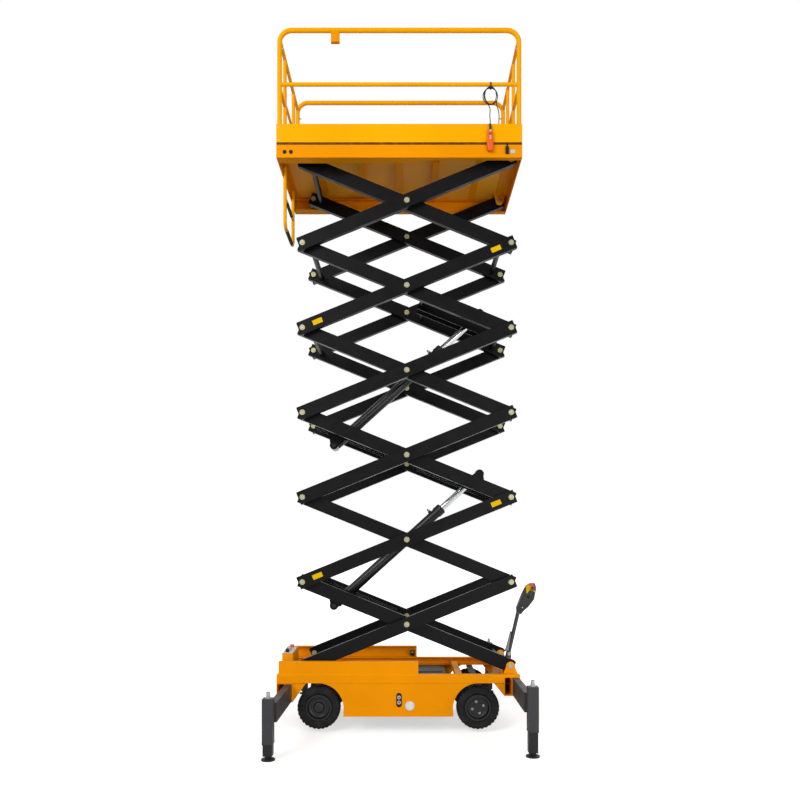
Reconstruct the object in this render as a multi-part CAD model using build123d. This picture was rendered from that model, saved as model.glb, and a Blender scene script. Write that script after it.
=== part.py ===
from build123d import *

import os
from math import atan2, cos, degrees, hypot, radians, sin, tan

# Towable scissor lift: six stages of crossed arms on a wheeled base with pull-out outriggers,
# carrying a railed platform. It is modelled part-raised, with the outriggers out and down.
# Millimetres, +Z up. +X points to the tow-handle end, -Y to the side with the hand control.
# The origin is on the floor below the middle of the overall length and width.
# Each sub-part is written to parts/NODE.step in its rest place.

os.makedirs("parts", exist_ok=True)

# ---------------------------------------------------------------- driving sizes
# scissor arms, rectangular bars in pairs: the rising pair outside, the falling pair inside
STAGES = 6
ARM_PITCH = 2050.0         # end pivot to end pivot
ARM_ANGLE = 22.1           # degrees from level, as stored
BAR_DEPTH = 120.0
BAR_WIDTH = 50.0
BAR_PAST_PIVOT = 36.0
BAR_CLIP_R = 62.0          # trimmed corners of the bar ends at the base and the deck
OUTER_BAR_Y = 460.0        # outer face of the outer bars
BAR_GAP = 8.0              # between an outer bar and an inner one
CROSS_TUBE_R = 25.0
CROSS_TUBE_INSET = 90.0    # from the end pivot
PIN_R = 20.0
PIN_FIT = 0.3              # running clearance at pins, rollers and seats
CAP_R = 25.0
CAP = 6.0
BOSS_R = 32.0
BOSS_IN = 6.0              # boss on the inner side of an inner bar
BOSS_OUT = 2.0

# cylinder mounts on the inner frames, and the two cylinders between them
EAR_ALONG = 700.0          # pin from the frame's centre, along the bar
EAR_OFF = 137.0            # pin off the bar's centre line
EAR_R = 40.0
EAR_Y = 70.0               # inner face of the ears and of the rails that carry them
EAR = 10.0
RAIL_DEPTH = 100.0
RAIL_START = 125.0
SLOT_BOSS_R = 30.0
SLOT_BOSS = 10.0           # boss on the inner face of an upper ear
STUB_R = 20.0
BARREL_LENGTH = 1400.0     # pin to gland face
BARREL_R = 47.5
GLAND_R = 52.5
GLAND = 70.0
BORE_END = 80.0            # closed end of the bore, from the pin
CYL_ROD_R = 30.0
CYL_ROD_INNER_END = 480.0  # inner end of the rod, from the barrel's pin
ROD_EYE_R = 45.0
ROD_EYE_HALF = 45.0

# base
BASE_LENGTH = 2191.0
BASE_HALF_WIDTH = 530.0
SILL_BOTTOM = 454.0
SILL_TOP = 532.0
FLANGE_EDGE = 472.0        # how far in the sill and track flanges reach
STEEL = 8.0
FIXED_PIVOT_X = 1026.0     # fixed pivots, from the middle of the base
ROLLER_R = 49.5
ROLLER_OUT = 514.0
ROLLER_IN = 468.0
TRACK_FIT = 0.5
TRACK_SET_BACK = 2.0       # track web behind the sill's face
TRACK_LEFT = -1078.0       # ends of the roller tracks, from the middle of the base
TRACK_RIGHT = 180.0
MEMBER_TO_AXLE = 160.0     # cross members, inboard of the axles
MEMBER_WIDTH = 60.0
MEMBER_HEIGHT = 46.0
END_MEMBER_TOP = 514.0
LUG_R = 40.0
LUG = 12.0
LUG_GAP = 1.0              # lug to the boss beside it
GUSSET_LEFT = 123.0
GUSSET_RIGHT = 95.0
GUSSET = 10.0

# outrigger pockets, beams and legs
BOX_HEIGHT = 172.0
BOX_PITCH = 68.0
BOX_WALL = 7.0
FRONT_BOX_TOP = 512.0
BEAM_FIT = 0.5
BEAM_INNER_END = 330.0     # from the centre line, pulled out
LEG_WIDTH = 85.0
LEG_LENGTH = 360.0
LEG_CAP = 8.0
LEG_OUTBOARD = 30.0        # leg centre outboard of its beam
REAR_LEG_BOTTOM = 129.0
FRONT_LEG_BOTTOM = 205.0
JACK_WIDTH = 75.0
JACK_BOTTOM = 38.0
JACK_INSIDE = 200.0
PAD_R = 55.0
PAD = 12.0
NECK_R = 16.0
SCREW_R = 14.0
SCREW_UP = 50.0
LONG_REACH = 1337.0        # leg from the centre line
SHORT_REACH = 1245.0

# wheels, axles and steering
AXLE_INSET = 375.5         # from the ends of the base
WHEEL_LIFT = 31.0          # wheels held off the floor by the outriggers
WHEEL_R = 195.0
WHEEL_OUT = 505.0          # outer face
WHEEL_WIDTH = 104.0
TYRE_SHOULDER = 22.0
RIM_R = 118.0
RIM_WALL = 16.0
RIM_DISH = 30.0
RIM_WELL = 47.0
HUB_R = 42.0
KINGPIN_Y = 365.0
KINGPIN_R = 16.0
AXLE_EYE_R = 28.0
AXLE_HALF = 28.0
AXLE_HANGER_Y = 250.0
AXLE_HANGER = 56.0
BRIDGE = 20.0
STUB_AXLE_R = 15.0
STUB_AXLE_END = 470.0
KNUCKLE_HALF = 22.0
KNUCKLE_PLATE = 9.5
KNUCKLE_FACE = 399.0

# covers between the wheels, and the ground controls
SKIRT_TO_AXLE = 225.0      # low edge of the skirt, inboard of the axle
SKIRT_BOTTOM = 154.0
SKIRT = 6.0
ARCH_R = 228.0
POWER_TO_AXLE = 265.0      # end of the power unit, inboard of the axle
POWER_SIDE = 515.0
POWER_BOTTOM = 172.0
CONSOLE_INSET = 15.5       # from the rear of the base
CONSOLE_WIDTH = 104.0
CONSOLE_NEAR = -330.0
CONSOLE_FAR = 20.0
CONSOLE_LOW = 690.0
CONSOLE_HIGH = 715.0

# tow handle
HANDLE_REACH = 230.0       # tip of the handle past the end of the base
YAW_INSET = 45.5           # turning axis, from the front of the base
YOKE_R = 45.0
YOKE_TOP = 560.0
TILT_AHEAD = 14.0          # tilting axis, ahead of the turning one
TILT_Z = 645.0
TILT_PIN_R = 10.0
TILT_EYE_R = 22.0
YOKE_EAR_Y = 24.0
POLE_R = 19.0
POLE_TOP_AHEAD = 110.0     # top of the pole, ahead of the turning axis
POLE_TOP_Z = 1061.0
HEAD_TOP_Z = 1327.0
HEAD_HALF = 38.0
GRIP_R = 14.0
GRIP_HALF = 92.0

# platform
DECK_LENGTH = 2198.0
DECK_HALF_WIDTH = 575.0
DECK_SHIFT = 9.0           # middle of the deck from the middle of the base
DECK_UP = 72.0             # deck surface above the top pivots
DECK_PLATE = 4.0
DECK_FLANGE = 50.0
DECK_FIT = 0.5
BEARER_X = (-750.0, -350.0, 0.0, 350.0, 750.0)
BEARER_WIDTH = 60.0
BEARER_STRIP = 5.0          # over the ends of the last arms
BEARER_DEEP = 48.0
BEARER_SIDE = 332.0        # the deep part lies between the arms
DEEP_WITHIN = 400.0        # bearers nearer the middle than this are deep ones
TOE_BOARD = 168.0
TOE = 4.0
RAIL_R = 21.0
SMALL_RAIL_R = 17.0
RAIL_GAP = 1.0             # post to toe board
RAIL_BEND = 110.0
TOP_RAIL_UP = 1023.0       # rail centres above the deck
MID_RAIL_UP = 538.0
END_RAIL_UP = 950.0
END_MID_RAIL_UP = 510.0
END_POST_Y = 200.0
GATE_OPENING = 245.0       # half of the way in
GATE_TUBE_R = 13.0
GATE_BOTTOM = 30.0
GATE_TOP = 550.0
GATE_SHEET_TOP = 420.0
GATE_SHEET = 3.0
LADDER_HALF = 243.0
LADDER_R = 16.0
LADDER_DROP = 534.0        # lowest rung below the top pivots
LADDER_RUNG = 264.0        # next rung below the top pivots
LADDER_HOLD = 80.0         # height held behind the end plate

# hand control and its lead
PENDANT_X = 819.0          # from the middle of the base
PENDANT_WIDTH = 62.0
PENDANT_DEPTH = 40.0
PENDANT_LOW = -85.0        # from the deck surface
PENDANT_HIGH = 150.0
LEAD_R = 4.0
LEAD_X = 905.0
LEAD_GLAND = 14.0
COIL_X = 828.0
COIL_HALF_WIDTH = 65.0
COIL_HALF_HEIGHT = 85.0
COIL_BAND = 20.0
COIL_HALF_DEPTH = 10.0

# ---------------------------------------------------------------- worked out
ANGLE = radians(ARM_ANGLE)
HALF_ARM = ARM_PITCH / 2
RISE = ARM_PITCH * sin(ANGLE)
SPAN = ARM_PITCH * cos(ANGLE)
INNER_BAR_Y = OUTER_BAR_Y - BAR_WIDTH - BAR_GAP
FRAME_INSIDE = INNER_BAR_Y - BAR_WIDTH
AXLE_X = BASE_LENGTH / 2 - AXLE_INSET
MEMBER_X = AXLE_X - MEMBER_TO_AXLE
YAW_X = BASE_LENGTH / 2 - YAW_INSET
LANE_MID = BASE_LENGTH / 2 - (2 * BOX_PITCH + BOX_WALL) / 2
REAR_REACH = LANE_MID + BOX_PITCH / 2 + LEG_OUTBOARD + PAD_R
BASE_X = (REAR_REACH - BASE_LENGTH / 2 - HANDLE_REACH) / 2
HANDLE_TIP = BASE_X + BASE_LENGTH / 2 + HANDLE_REACH
TRACK_HALF = ROLLER_R + TRACK_FIT
PIVOT_Z = SILL_TOP + STEEL + TRACK_HALF
TRACK_TOP = PIVOT_Z + TRACK_HALF + STEEL
FIXED_X = BASE_X + FIXED_PIVOT_X
SLIDE_X = FIXED_X - SPAN
TOP_Z = PIVOT_Z + STAGES * RISE
DECK_Z = TOP_Z + DECK_UP
DECK_UNDER = DECK_Z - DECK_PLATE
DECK_BASE = TOP_Z - TRACK_HALF - STEEL
DECK_LEFT = BASE_X + DECK_SHIFT - DECK_LENGTH / 2
DECK_RIGHT = DECK_LEFT + DECK_LENGTH
WHEEL_Z = WHEEL_LIFT + WHEEL_R
POST_Y = DECK_HALF_WIDTH - TOE - RAIL_GAP - RAIL_R
POST_INSET = TOE + RAIL_GAP + RAIL_R


# ---------------------------------------------------------------- helpers
def block(x0, x1, y0, y1, z0, z1):
    """A box between two corners, given in any order."""
    middle = Pos((x0 + x1) / 2, (y0 + y1) / 2, (z0 + z1) / 2)
    return middle * Box(abs(x1 - x0), abs(y1 - y0), abs(z1 - z0))


def rod_x(y, z, x0, x1, radius):
    return Pos((x0 + x1) / 2, y, z) * Rot(0, 90, 0) * Cylinder(radius, abs(x1 - x0))


def rod_y(x, z, y0, y1, radius):
    return Pos(x, (y0 + y1) / 2, z) * Rot(90, 0, 0) * Cylinder(radius, abs(y1 - y0))


def rod_z(x, y, z0, z1, radius):
    return Pos(x, y, (z0 + z1) / 2) * Cylinder(radius, abs(z1 - z0))


def plate_y(points, y0, y1):
    """An XZ outline with its thickness along Y."""
    plane = Plane(origin=(0, min(y0, y1), 0), x_dir=(1, 0, 0), z_dir=(0, -1, 0))
    return extrude(plane * Polygon(*points, align=None), amount=abs(y1 - y0), dir=(0, 1, 0))


def section_x(points, x0, x1):
    """A YZ outline with its length along X."""
    plane = Plane(origin=(x0, 0, 0), x_dir=(0, 1, 0), z_dir=(1, 0, 0))
    return extrude(plane * Polygon(*points, align=None), amount=x1 - x0, dir=(1, 0, 0))


def channel(face_y, edge_y, z0, z1, x0, x1, wall=STEEL):
    """A channel along X on the -Y side, with its web at face_y and its flanges reaching in to edge_y."""
    inner = face_y - wall
    return section_x([(-face_y, z0), (-face_y, z1), (-edge_y, z1), (-edge_y, z1 - wall),
                      (-inner, z1 - wall), (-inner, z0 + wall), (-edge_y, z0 + wall), (-edge_y, z0)], x0, x1)


def bent_tube(points, radius, bends):
    """A round bar along straight runs joined by arcs. bends is one radius, or one for each corner."""
    path = FilletPolyline(*points, radius=bends)
    return sweep(Plane(origin=path @ 0, z_dir=path % 0) * Circle(radius), path=path)


def fuse(shapes):
    """Joins the shapes one after another."""
    joined, *rest = shapes
    for shape in rest:
        joined += shape
    return joined


def both(*shapes):
    """The shapes and their mirror images on the other side of the centre line."""
    return [*shapes, *(mirror(shape, about=Plane.XZ) for shape in shapes)]


def save(node, *shapes):
    """Writes a node. Shapes that don't touch stay separate solids."""
    solids = [solid for shape in shapes for solid in shape.solids()]
    export_step(solids[0] if len(solids) == 1 else Compound(children=solids), f"parts/{node}.step")


# ---------------------------------------------------------------- arms and their pins
FIRST_CYLINDER_STAGES = (1, 3)      # frames that carry the barrel of a cylinder
LAST_CYLINDER_STAGES = (3, 5)       # frames that carry its rod


def stage_centre(stage):
    """Where the arms of a stage cross. Stages count from 1 at the base."""
    return FIXED_X - SPAN / 2, PIVOT_Z + (stage - 0.5) * RISE


def in_stage(stage, turn, shape):
    """Puts a shape drawn along +X about a bar's middle in its place. turn is 1 for a falling bar."""
    x, z = stage_centre(stage)
    return Pos(x, 0, z) * Rot(0, turn * ARM_ANGLE, 0) * shape


def bar(outer_face, clipped_end, bosses):
    """A bar on the -Y side. clipped_end is -1, 0 or 1: the end with trimmed corners."""
    y0, y1 = -outer_face, -outer_face + BAR_WIDTH
    half = HALF_ARM + BAR_PAST_PIVOT
    shape = block(-half, half, y0, y1, -BAR_DEPTH / 2, BAR_DEPTH / 2)
    if clipped_end:
        pivot = clipped_end * HALF_ARM
        keep = block(-clipped_end * 2 * HALF_ARM, pivot, y0, y1, -BAR_DEPTH, BAR_DEPTH)
        shape &= keep + rod_y(pivot, 0, y0, y1, BAR_CLIP_R)
    for x in (-HALF_ARM, 0, HALF_ARM):
        if bosses:
            shape += rod_y(x, 0, y0 - BOSS_OUT, y1 + BOSS_IN, BOSS_R)
        shape -= rod_y(x, 0, y0 - CAP, y1 + 2 * BOSS_IN, PIN_R + PIN_FIT)
    return shape


def cylinder_mount(end):
    """A rail with an ear on the -Y side of the slot. end is -1 for a barrel's ear and 1 for a rod's."""
    inner_face, outer_face = -EAR_Y, -EAR_Y - EAR
    rail = block(end * RAIL_START, end * (HALF_ARM - CROSS_TUBE_INSET), outer_face, inner_face,
                 -RAIL_DEPTH / 2, RAIL_DEPTH / 2)
    pin_x, pin_z = end * EAR_ALONG, end * EAR_OFF
    ear = plate_y([(pin_x - 2.4 * EAR_R, end * EAR_R), (pin_x + 2.4 * EAR_R, end * EAR_R),
                   (pin_x + 0.95 * EAR_R, pin_z), (pin_x - 0.95 * EAR_R, pin_z)], outer_face, inner_face)
    ear += rod_y(pin_x, pin_z, outer_face, inner_face, EAR_R)
    stub = rod_y(end * (RAIL_START + 1.5 * STUB_R), 0, -FRAME_INSIDE, outer_face + 1, STUB_R)
    mount = rail + ear + stub
    if end < 0:
        return mount - rod_y(pin_x, pin_z, outer_face - 1, inner_face + 1, PIN_R + PIN_FIT)
    return mount + rod_y(pin_x, pin_z, outer_face + 1, inner_face + SLOT_BOSS, SLOT_BOSS_R)


def inner_frame(stage):
    """Two falling bars joined by cross tubes, with cylinder mounts where a cylinder is fixed."""
    clipped_end = {1: 1, STAGES: -1}.get(stage, 0)
    pieces = both(bar(INNER_BAR_Y, clipped_end, True))
    for end in (-1, 1):
        x = end * (HALF_ARM - CROSS_TUBE_INSET)
        pieces.append(rod_y(x, 0, -FRAME_INSIDE, FRAME_INSIDE, CROSS_TUBE_R))
    if stage in FIRST_CYLINDER_STAGES:
        pieces += both(cylinder_mount(-1))
    if stage in LAST_CYLINDER_STAGES:
        pieces += both(cylinder_mount(1))
    return in_stage(stage, 1, fuse(pieces))


def headed_pin(x, z, outer_face, inner_face):
    """A pin on the -Y side with a cap on the outer face and a collar just clear of the inner one."""
    collar = inner_face - PIN_FIT
    pin = rod_y(x, z, -outer_face - CAP, -collar + CAP, PIN_R)
    pin += rod_y(x, z, -outer_face - CAP, -outer_face, CAP_R)
    return pin + rod_y(x, z, -collar, -collar + CAP, CAP_R)


def roller(x, z, bar_inside):
    """A track roller on the -Y side with its axle through the bar it hangs on."""
    wheel = rod_y(x, z, -ROLLER_OUT, -ROLLER_IN, ROLLER_R)
    axle = rod_y(x, z, -ROLLER_IN, -bar_inside + CAP, PIN_R)
    return wheel + axle + rod_y(x, z, -bar_inside + PIN_FIT, -bar_inside + CAP, CAP_R)


for stage in range(1, STAGES + 1):
    save(f"inner_arms_{stage}", inner_frame(stage))
    clipped_end = {1: -1, STAGES: 1}.get(stage, 0)
    outer_bars = both(bar(OUTER_BAR_Y, clipped_end, False))
    save(f"outer_arms_{stage}", *(in_stage(stage, -1, shape) for shape in outer_bars))
    middle_x, middle_z = stage_centre(stage)
    pins = [headed_pin(middle_x, middle_z, OUTER_BAR_Y, FRAME_INSIDE - BOSS_IN)]
    if stage < STAGES:
        pins.append(headed_pin(FIXED_X, middle_z + RISE / 2, OUTER_BAR_Y, FRAME_INSIDE - BOSS_IN))
    if stage > 1:
        pins.append(headed_pin(SLIDE_X, middle_z - RISE / 2, OUTER_BAR_Y, FRAME_INSIDE - BOSS_IN))
    else:
        pins.append(roller(SLIDE_X, PIVOT_Z, OUTER_BAR_Y - BAR_WIDTH))
    save(f"pivot_pins_{stage}", *both(*pins))
save("deck_rollers", *both(roller(SLIDE_X, TOP_Z, FRAME_INSIDE - BOSS_IN)))


# ---------------------------------------------------------------- cylinders
def on_frame(stage, along, off):
    """World X and Z of a point given along and square to a falling bar."""
    x, z = stage_centre(stage)
    return x + along * cos(ANGLE) + off * sin(ANGLE), z - along * sin(ANGLE) + off * cos(ANGLE)


for number, stage in enumerate(FIRST_CYLINDER_STAGES, 1):
    foot = on_frame(stage, -EAR_ALONG, -EAR_OFF)
    head = on_frame(stage + 2, EAR_ALONG, EAR_OFF)
    length = hypot(head[0] - foot[0], head[1] - foot[1])
    lean = degrees(atan2(head[0] - foot[0], head[1] - foot[1]))
    along_cylinder = Pos(foot[0], 0, foot[1]) * Rot(0, lean, 0)

    bush_half = EAR_Y - PIN_FIT
    barrel = rod_z(0, 0, 0.75 * EAR_R, BARREL_LENGTH - GLAND, BARREL_R)
    barrel += rod_z(0, 0, BARREL_LENGTH - GLAND, BARREL_LENGTH, GLAND_R)
    barrel += rod_y(0, 0, -bush_half, bush_half, EAR_R)
    barrel += rod_y(0, 0, -EAR_Y - EAR - CAP, EAR_Y + EAR + CAP, PIN_R)
    barrel -= rod_z(0, 0, BORE_END, BARREL_LENGTH + 1, CYL_ROD_R + PIN_FIT)
    save(f"cylinder_barrel_{number}", along_cylinder * barrel)

    slot_half = EAR_Y - SLOT_BOSS - PIN_FIT
    rod = rod_z(0, 0, CYL_ROD_INNER_END, length, CYL_ROD_R)
    rod += rod_y(0, length, -ROD_EYE_HALF, ROD_EYE_HALF, ROD_EYE_R)
    rod += rod_y(0, length, -slot_half, slot_half, PIN_R)
    save(f"cylinder_rod_{number}", along_cylinder * rod)


# ---------------------------------------------------------------- base frame
def base_lug(y0, y1):
    """An upright lug on the front pockets that holds the first falling bar."""
    foot_left = BASE_X + LANE_MID - BOX_PITCH
    foot_right = BASE_X + BASE_LENGTH / 2 - 1
    lug = plate_y([(foot_left, FRONT_BOX_TOP - 1), (foot_right, FRONT_BOX_TOP - 1),
                   (FIXED_X + 0.95 * LUG_R, PIVOT_Z), (FIXED_X - 0.95 * LUG_R, PIVOT_Z)], y0, y1)
    lug += rod_y(FIXED_X, PIVOT_Z, y0, y1, LUG_R)
    return lug - rod_y(FIXED_X, PIVOT_Z, y0 - 1, y1 + 1, PIN_R + PIN_FIT)


def lane_x(end, lane):
    """Middle of a pocket. end is -1 at the rear and 1 at the front, lane 0 inboard and 1 outboard."""
    return BASE_X + end * (LANE_MID + (lane - 0.5) * BOX_PITCH)


box_bottom = {-1: SILL_BOTTOM - BOX_HEIGHT, 1: FRONT_BOX_TOP - BOX_HEIGHT}
base_left = BASE_X - BASE_LENGTH / 2
base_right = BASE_X + BASE_LENGTH / 2
track_face = BASE_HALF_WIDTH - TRACK_SET_BACK
lug_outside = INNER_BAR_Y + BOSS_OUT + LUG_GAP
lug_inside = FRAME_INSIDE - BOSS_IN - LUG_GAP
side = [
    channel(BASE_HALF_WIDTH, FLANGE_EDGE, SILL_BOTTOM, SILL_TOP, base_left, base_right),
    channel(track_face, FLANGE_EDGE, SILL_TOP, TRACK_TOP, BASE_X + TRACK_LEFT, BASE_X + TRACK_RIGHT),
    base_lug(-lug_outside - LUG, -lug_outside),
    base_lug(-lug_inside, -lug_inside + LUG),
]
for end, size in ((-1, GUSSET_LEFT), (1, GUSSET_RIGHT)):
    corner = BASE_X + end * (LANE_MID - BOX_PITCH - BOX_WALL / 2 + 1)
    side.append(plate_y([(corner, box_bottom[end]), (corner, SILL_BOTTOM + 1),
                         (corner - end * size, SILL_BOTTOM + 1)],
                        -BASE_HALF_WIDTH + STEEL, -BASE_HALF_WIDTH + STEEL + GUSSET))
pieces = both(*side)
half_pocket = (2 * BOX_PITCH + BOX_WALL) / 2
for end in (-1, 1):
    middle = BASE_X + end * LANE_MID
    pieces.append(block(middle - half_pocket, middle + half_pocket, -BASE_HALF_WIDTH, BASE_HALF_WIDTH,
                        box_bottom[end], box_bottom[end] + BOX_HEIGHT))
    beam_x = BASE_X + end * MEMBER_X
    pieces.append(block(beam_x - MEMBER_WIDTH / 2, beam_x + MEMBER_WIDTH / 2,
                        -BASE_HALF_WIDTH + 1, BASE_HALF_WIDTH - 1, SILL_BOTTOM, SILL_BOTTOM + MEMBER_HEIGHT))
pieces.append(block(base_left, base_left + 2 * half_pocket, -BASE_HALF_WIDTH + 1, BASE_HALF_WIDTH - 1,
                    SILL_BOTTOM, END_MEMBER_TOP))
base_frame = fuse(pieces)
half_lane = (BOX_PITCH - BOX_WALL) / 2
for end in (-1, 1):
    for lane in (0, 1):
        x = lane_x(end, lane)
        base_frame -= block(x - half_lane, x + half_lane, -BASE_HALF_WIDTH - 1, BASE_HALF_WIDTH + 1,
                            box_bottom[end] + BOX_WALL, box_bottom[end] + BOX_HEIGHT - BOX_WALL)
save("base_frame", base_frame)
save("base_pins", *both(headed_pin(FIXED_X, PIVOT_Z, lug_outside + LUG, lug_inside - LUG)))

# ---------------------------------------------------------------- covers and ground controls
skirt = block(BASE_X - AXLE_X, BASE_X + AXLE_X, -BASE_HALF_WIDTH, -BASE_HALF_WIDTH + SKIRT,
              SKIRT_BOTTOM, SILL_BOTTOM)
for end in (-1, 1):
    wheel_x = BASE_X + end * AXLE_X
    skirt -= rod_y(wheel_x, WHEEL_Z, -BASE_HALF_WIDTH - 1, -BASE_HALF_WIDTH + SKIRT + 1, ARCH_R)
    skirt -= block(BASE_X + end * (AXLE_X - SKIRT_TO_AXLE), wheel_x, -BASE_HALF_WIDTH - 1, -BASE_HALF_WIDTH + SKIRT + 1,
                   SKIRT_BOTTOM - 1, WHEEL_Z)
save("side_skirts", *both(skirt))
power_half = AXLE_X - POWER_TO_AXLE
save("power_unit", block(BASE_X - power_half, BASE_X + power_half, -POWER_SIDE, POWER_SIDE,
                         POWER_BOTTOM, SILL_BOTTOM))
console_left = base_left + CONSOLE_INSET
console = section_x([(CONSOLE_NEAR, END_MEMBER_TOP), (CONSOLE_FAR, END_MEMBER_TOP),
                     (CONSOLE_FAR, CONSOLE_HIGH), (CONSOLE_NEAR, CONSOLE_LOW)],
                    console_left, console_left + CONSOLE_WIDTH)
save("control_console", fillet(console.edges().filter_by(Axis.Z), 8))


# ---------------------------------------------------------------- axles, knuckles and wheels
def axle(end, reach):
    """An axle hung from a bridge under the sills, reaching to a distance from the centre line."""
    x = BASE_X + end * AXLE_X
    shape = block(x - AXLE_HALF, x + AXLE_HALF, -reach, reach, WHEEL_Z - AXLE_HALF, WHEEL_Z + AXLE_HALF)
    shape += block(x - AXLE_HALF, x + AXLE_HALF, -BASE_HALF_WIDTH + STEEL, BASE_HALF_WIDTH - STEEL,
                   SILL_BOTTOM - BRIDGE, SILL_BOTTOM)
    for y in (-AXLE_HANGER_Y, AXLE_HANGER_Y):
        shape += block(x - AXLE_HALF, x + AXLE_HALF, y - AXLE_HANGER / 2, y + AXLE_HANGER / 2,
                       WHEEL_Z, SILL_BOTTOM - BRIDGE / 2)
    return shape


wheel_inside = WHEEL_OUT - WHEEL_WIDTH
rear_axle = axle(-1, wheel_inside - CAP)
front_axle = axle(1, KINGPIN_Y - AXLE_EYE_R / 2)
front_x = BASE_X + AXLE_X
for side_sign in (-1, 1):
    rear_axle += rod_y(BASE_X - AXLE_X, WHEEL_Z, side_sign * (wheel_inside - 2 * CAP),
                       side_sign * STUB_AXLE_END, STUB_AXLE_R)
    y = side_sign * KINGPIN_Y
    front_axle += rod_z(front_x, y, WHEEL_Z - AXLE_HALF, WHEEL_Z + AXLE_HALF, AXLE_EYE_R)
    front_axle -= rod_z(front_x, y, WHEEL_Z - 2 * AXLE_HALF, WHEEL_Z + 2 * AXLE_HALF, KINGPIN_R + PIN_FIT)
save("rear_axle", rear_axle)
save("front_axle", front_axle)

for side_sign, side_name in ((-1, "near"), (1, "far")):
    y = side_sign * KINGPIN_Y
    face = side_sign * KNUCKLE_FACE
    fork_in = AXLE_HALF + PIN_FIT
    fork_out = fork_in + KNUCKLE_PLATE
    knuckle = rod_z(front_x, y, WHEEL_Z - fork_out, WHEEL_Z + fork_out, KINGPIN_R)
    for up in (-1, 1):
        z0, z1 = WHEEL_Z + up * fork_in, WHEEL_Z + up * fork_out
        knuckle += rod_z(front_x, y, z0, z1, KNUCKLE_HALF)
        knuckle += block(front_x - KNUCKLE_HALF, front_x + KNUCKLE_HALF, y, face, z0, z1)
    knuckle += block(front_x - KNUCKLE_HALF, front_x + KNUCKLE_HALF, face, face + side_sign * KNUCKLE_PLATE,
                     WHEEL_Z - fork_out, WHEEL_Z + fork_out)
    knuckle += rod_y(front_x, WHEEL_Z, face, side_sign * STUB_AXLE_END, STUB_AXLE_R)
    save(f"knuckle_{side_name}", knuckle)

for end, end_name in ((-1, "rear"), (1, "front")):
    for side_sign, side_name in ((-1, "near"), (1, "far")):
        x = BASE_X + end * AXLE_X
        outside = side_sign * WHEEL_OUT
        inside = side_sign * wheel_inside
        tyre = fillet(rod_y(x, WHEEL_Z, inside, outside, WHEEL_R).edges().filter_by(GeomType.CIRCLE),
                      TYRE_SHOULDER)
        tyre -= rod_y(x, WHEEL_Z, inside - side_sign, outside + side_sign, RIM_R + PIN_FIT)
        save(f"tyre_{end_name}_{side_name}", tyre)
        dish_floor = outside - side_sign * RIM_DISH
        rim = rod_y(x, WHEEL_Z, inside, outside, RIM_R)
        rim -= rod_y(x, WHEEL_Z, dish_floor, outside + side_sign, RIM_R - RIM_WALL)
        rim -= rod_y(x, WHEEL_Z, inside - side_sign, inside + side_sign * RIM_WELL, RIM_R - RIM_WALL)
        rim += rod_y(x, WHEEL_Z, inside + side_sign * RIM_WELL / 2, outside - side_sign * RIM_DISH / 2, HUB_R)
        rim -= rod_y(x, WHEEL_Z, inside - side_sign, side_sign * (STUB_AXLE_END + CAP), STUB_AXLE_R + PIN_FIT)
        save(f"rim_{end_name}_{side_name}", rim)

# ---------------------------------------------------------------- outriggers
# name, side (-1 near), end (-1 rear), lane (0 inboard), reach of the leg from the centre line
OUTRIGGERS = [
    ("rear_near", -1, -1, 0, LONG_REACH),
    ("rear_far", 1, -1, 1, SHORT_REACH),
    ("front_near", -1, 1, 1, SHORT_REACH),
    ("front_far", 1, 1, 0, LONG_REACH),
]
half_leg = LEG_WIDTH / 2
half_jack = JACK_WIDTH / 2
half_beam = half_lane - BEAM_FIT
for name, side_sign, end, lane, reach in OUTRIGGERS:
    beam_x = lane_x(end, lane)
    x = beam_x + end * LEG_OUTBOARD
    y = side_sign * reach
    low = REAR_LEG_BOTTOM if end < 0 else FRONT_LEG_BOTTOM
    high = low + LEG_LENGTH
    cavity = half_jack + BEAM_FIT
    beam = block(beam_x - half_beam, beam_x + half_beam, side_sign * BEAM_INNER_END,
                 side_sign * (reach - half_leg + (LEG_WIDTH - JACK_WIDTH) / 4),
                 box_bottom[end] + BOX_WALL + BEAM_FIT, box_bottom[end] + BOX_HEIGHT - BOX_WALL - BEAM_FIT)
    leg = block(x - half_leg, x + half_leg, y - half_leg, y + half_leg, low, high)
    leg -= block(x - cavity, x + cavity, y - cavity, y + cavity, low - 1, high - LEG_CAP)
    leg += rod_z(x, y, high - 1, high + SCREW_UP, SCREW_R)
    save(f"outrigger_{name}", beam + leg)
    jack = block(x - half_jack, x + half_jack, y - half_jack, y + half_jack, JACK_BOTTOM, low + JACK_INSIDE)
    jack += rod_z(x, y, PAD / 2, JACK_BOTTOM + 1, NECK_R)
    jack += rod_z(x, y, 0, PAD, PAD_R)
    save(f"jack_{name}", jack)

# ---------------------------------------------------------------- tow handle
yaw_x = BASE_X + YAW_X
tilt_x = yaw_x + TILT_AHEAD
yoke = rod_z(yaw_x, 0, FRONT_BOX_TOP + PIN_FIT, YOKE_TOP, YOKE_R)
for y0, y1 in ((-YOKE_EAR_Y - LUG, -YOKE_EAR_Y), (YOKE_EAR_Y, YOKE_EAR_Y + LUG)):
    yoke += plate_y([(yaw_x - 0.6 * YOKE_R, YOKE_TOP - 1), (yaw_x + 0.8 * YOKE_R, YOKE_TOP - 1),
                     (tilt_x + 0.95 * TILT_EYE_R, TILT_Z), (tilt_x - 0.95 * TILT_EYE_R, TILT_Z)], y0, y1)
    yoke += rod_y(tilt_x, TILT_Z, y0, y1, TILT_EYE_R)
yoke += rod_y(tilt_x, TILT_Z, -YOKE_EAR_Y - LUG - CAP, YOKE_EAR_Y + LUG + CAP, TILT_PIN_R)
save("tow_yoke", yoke)

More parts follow.
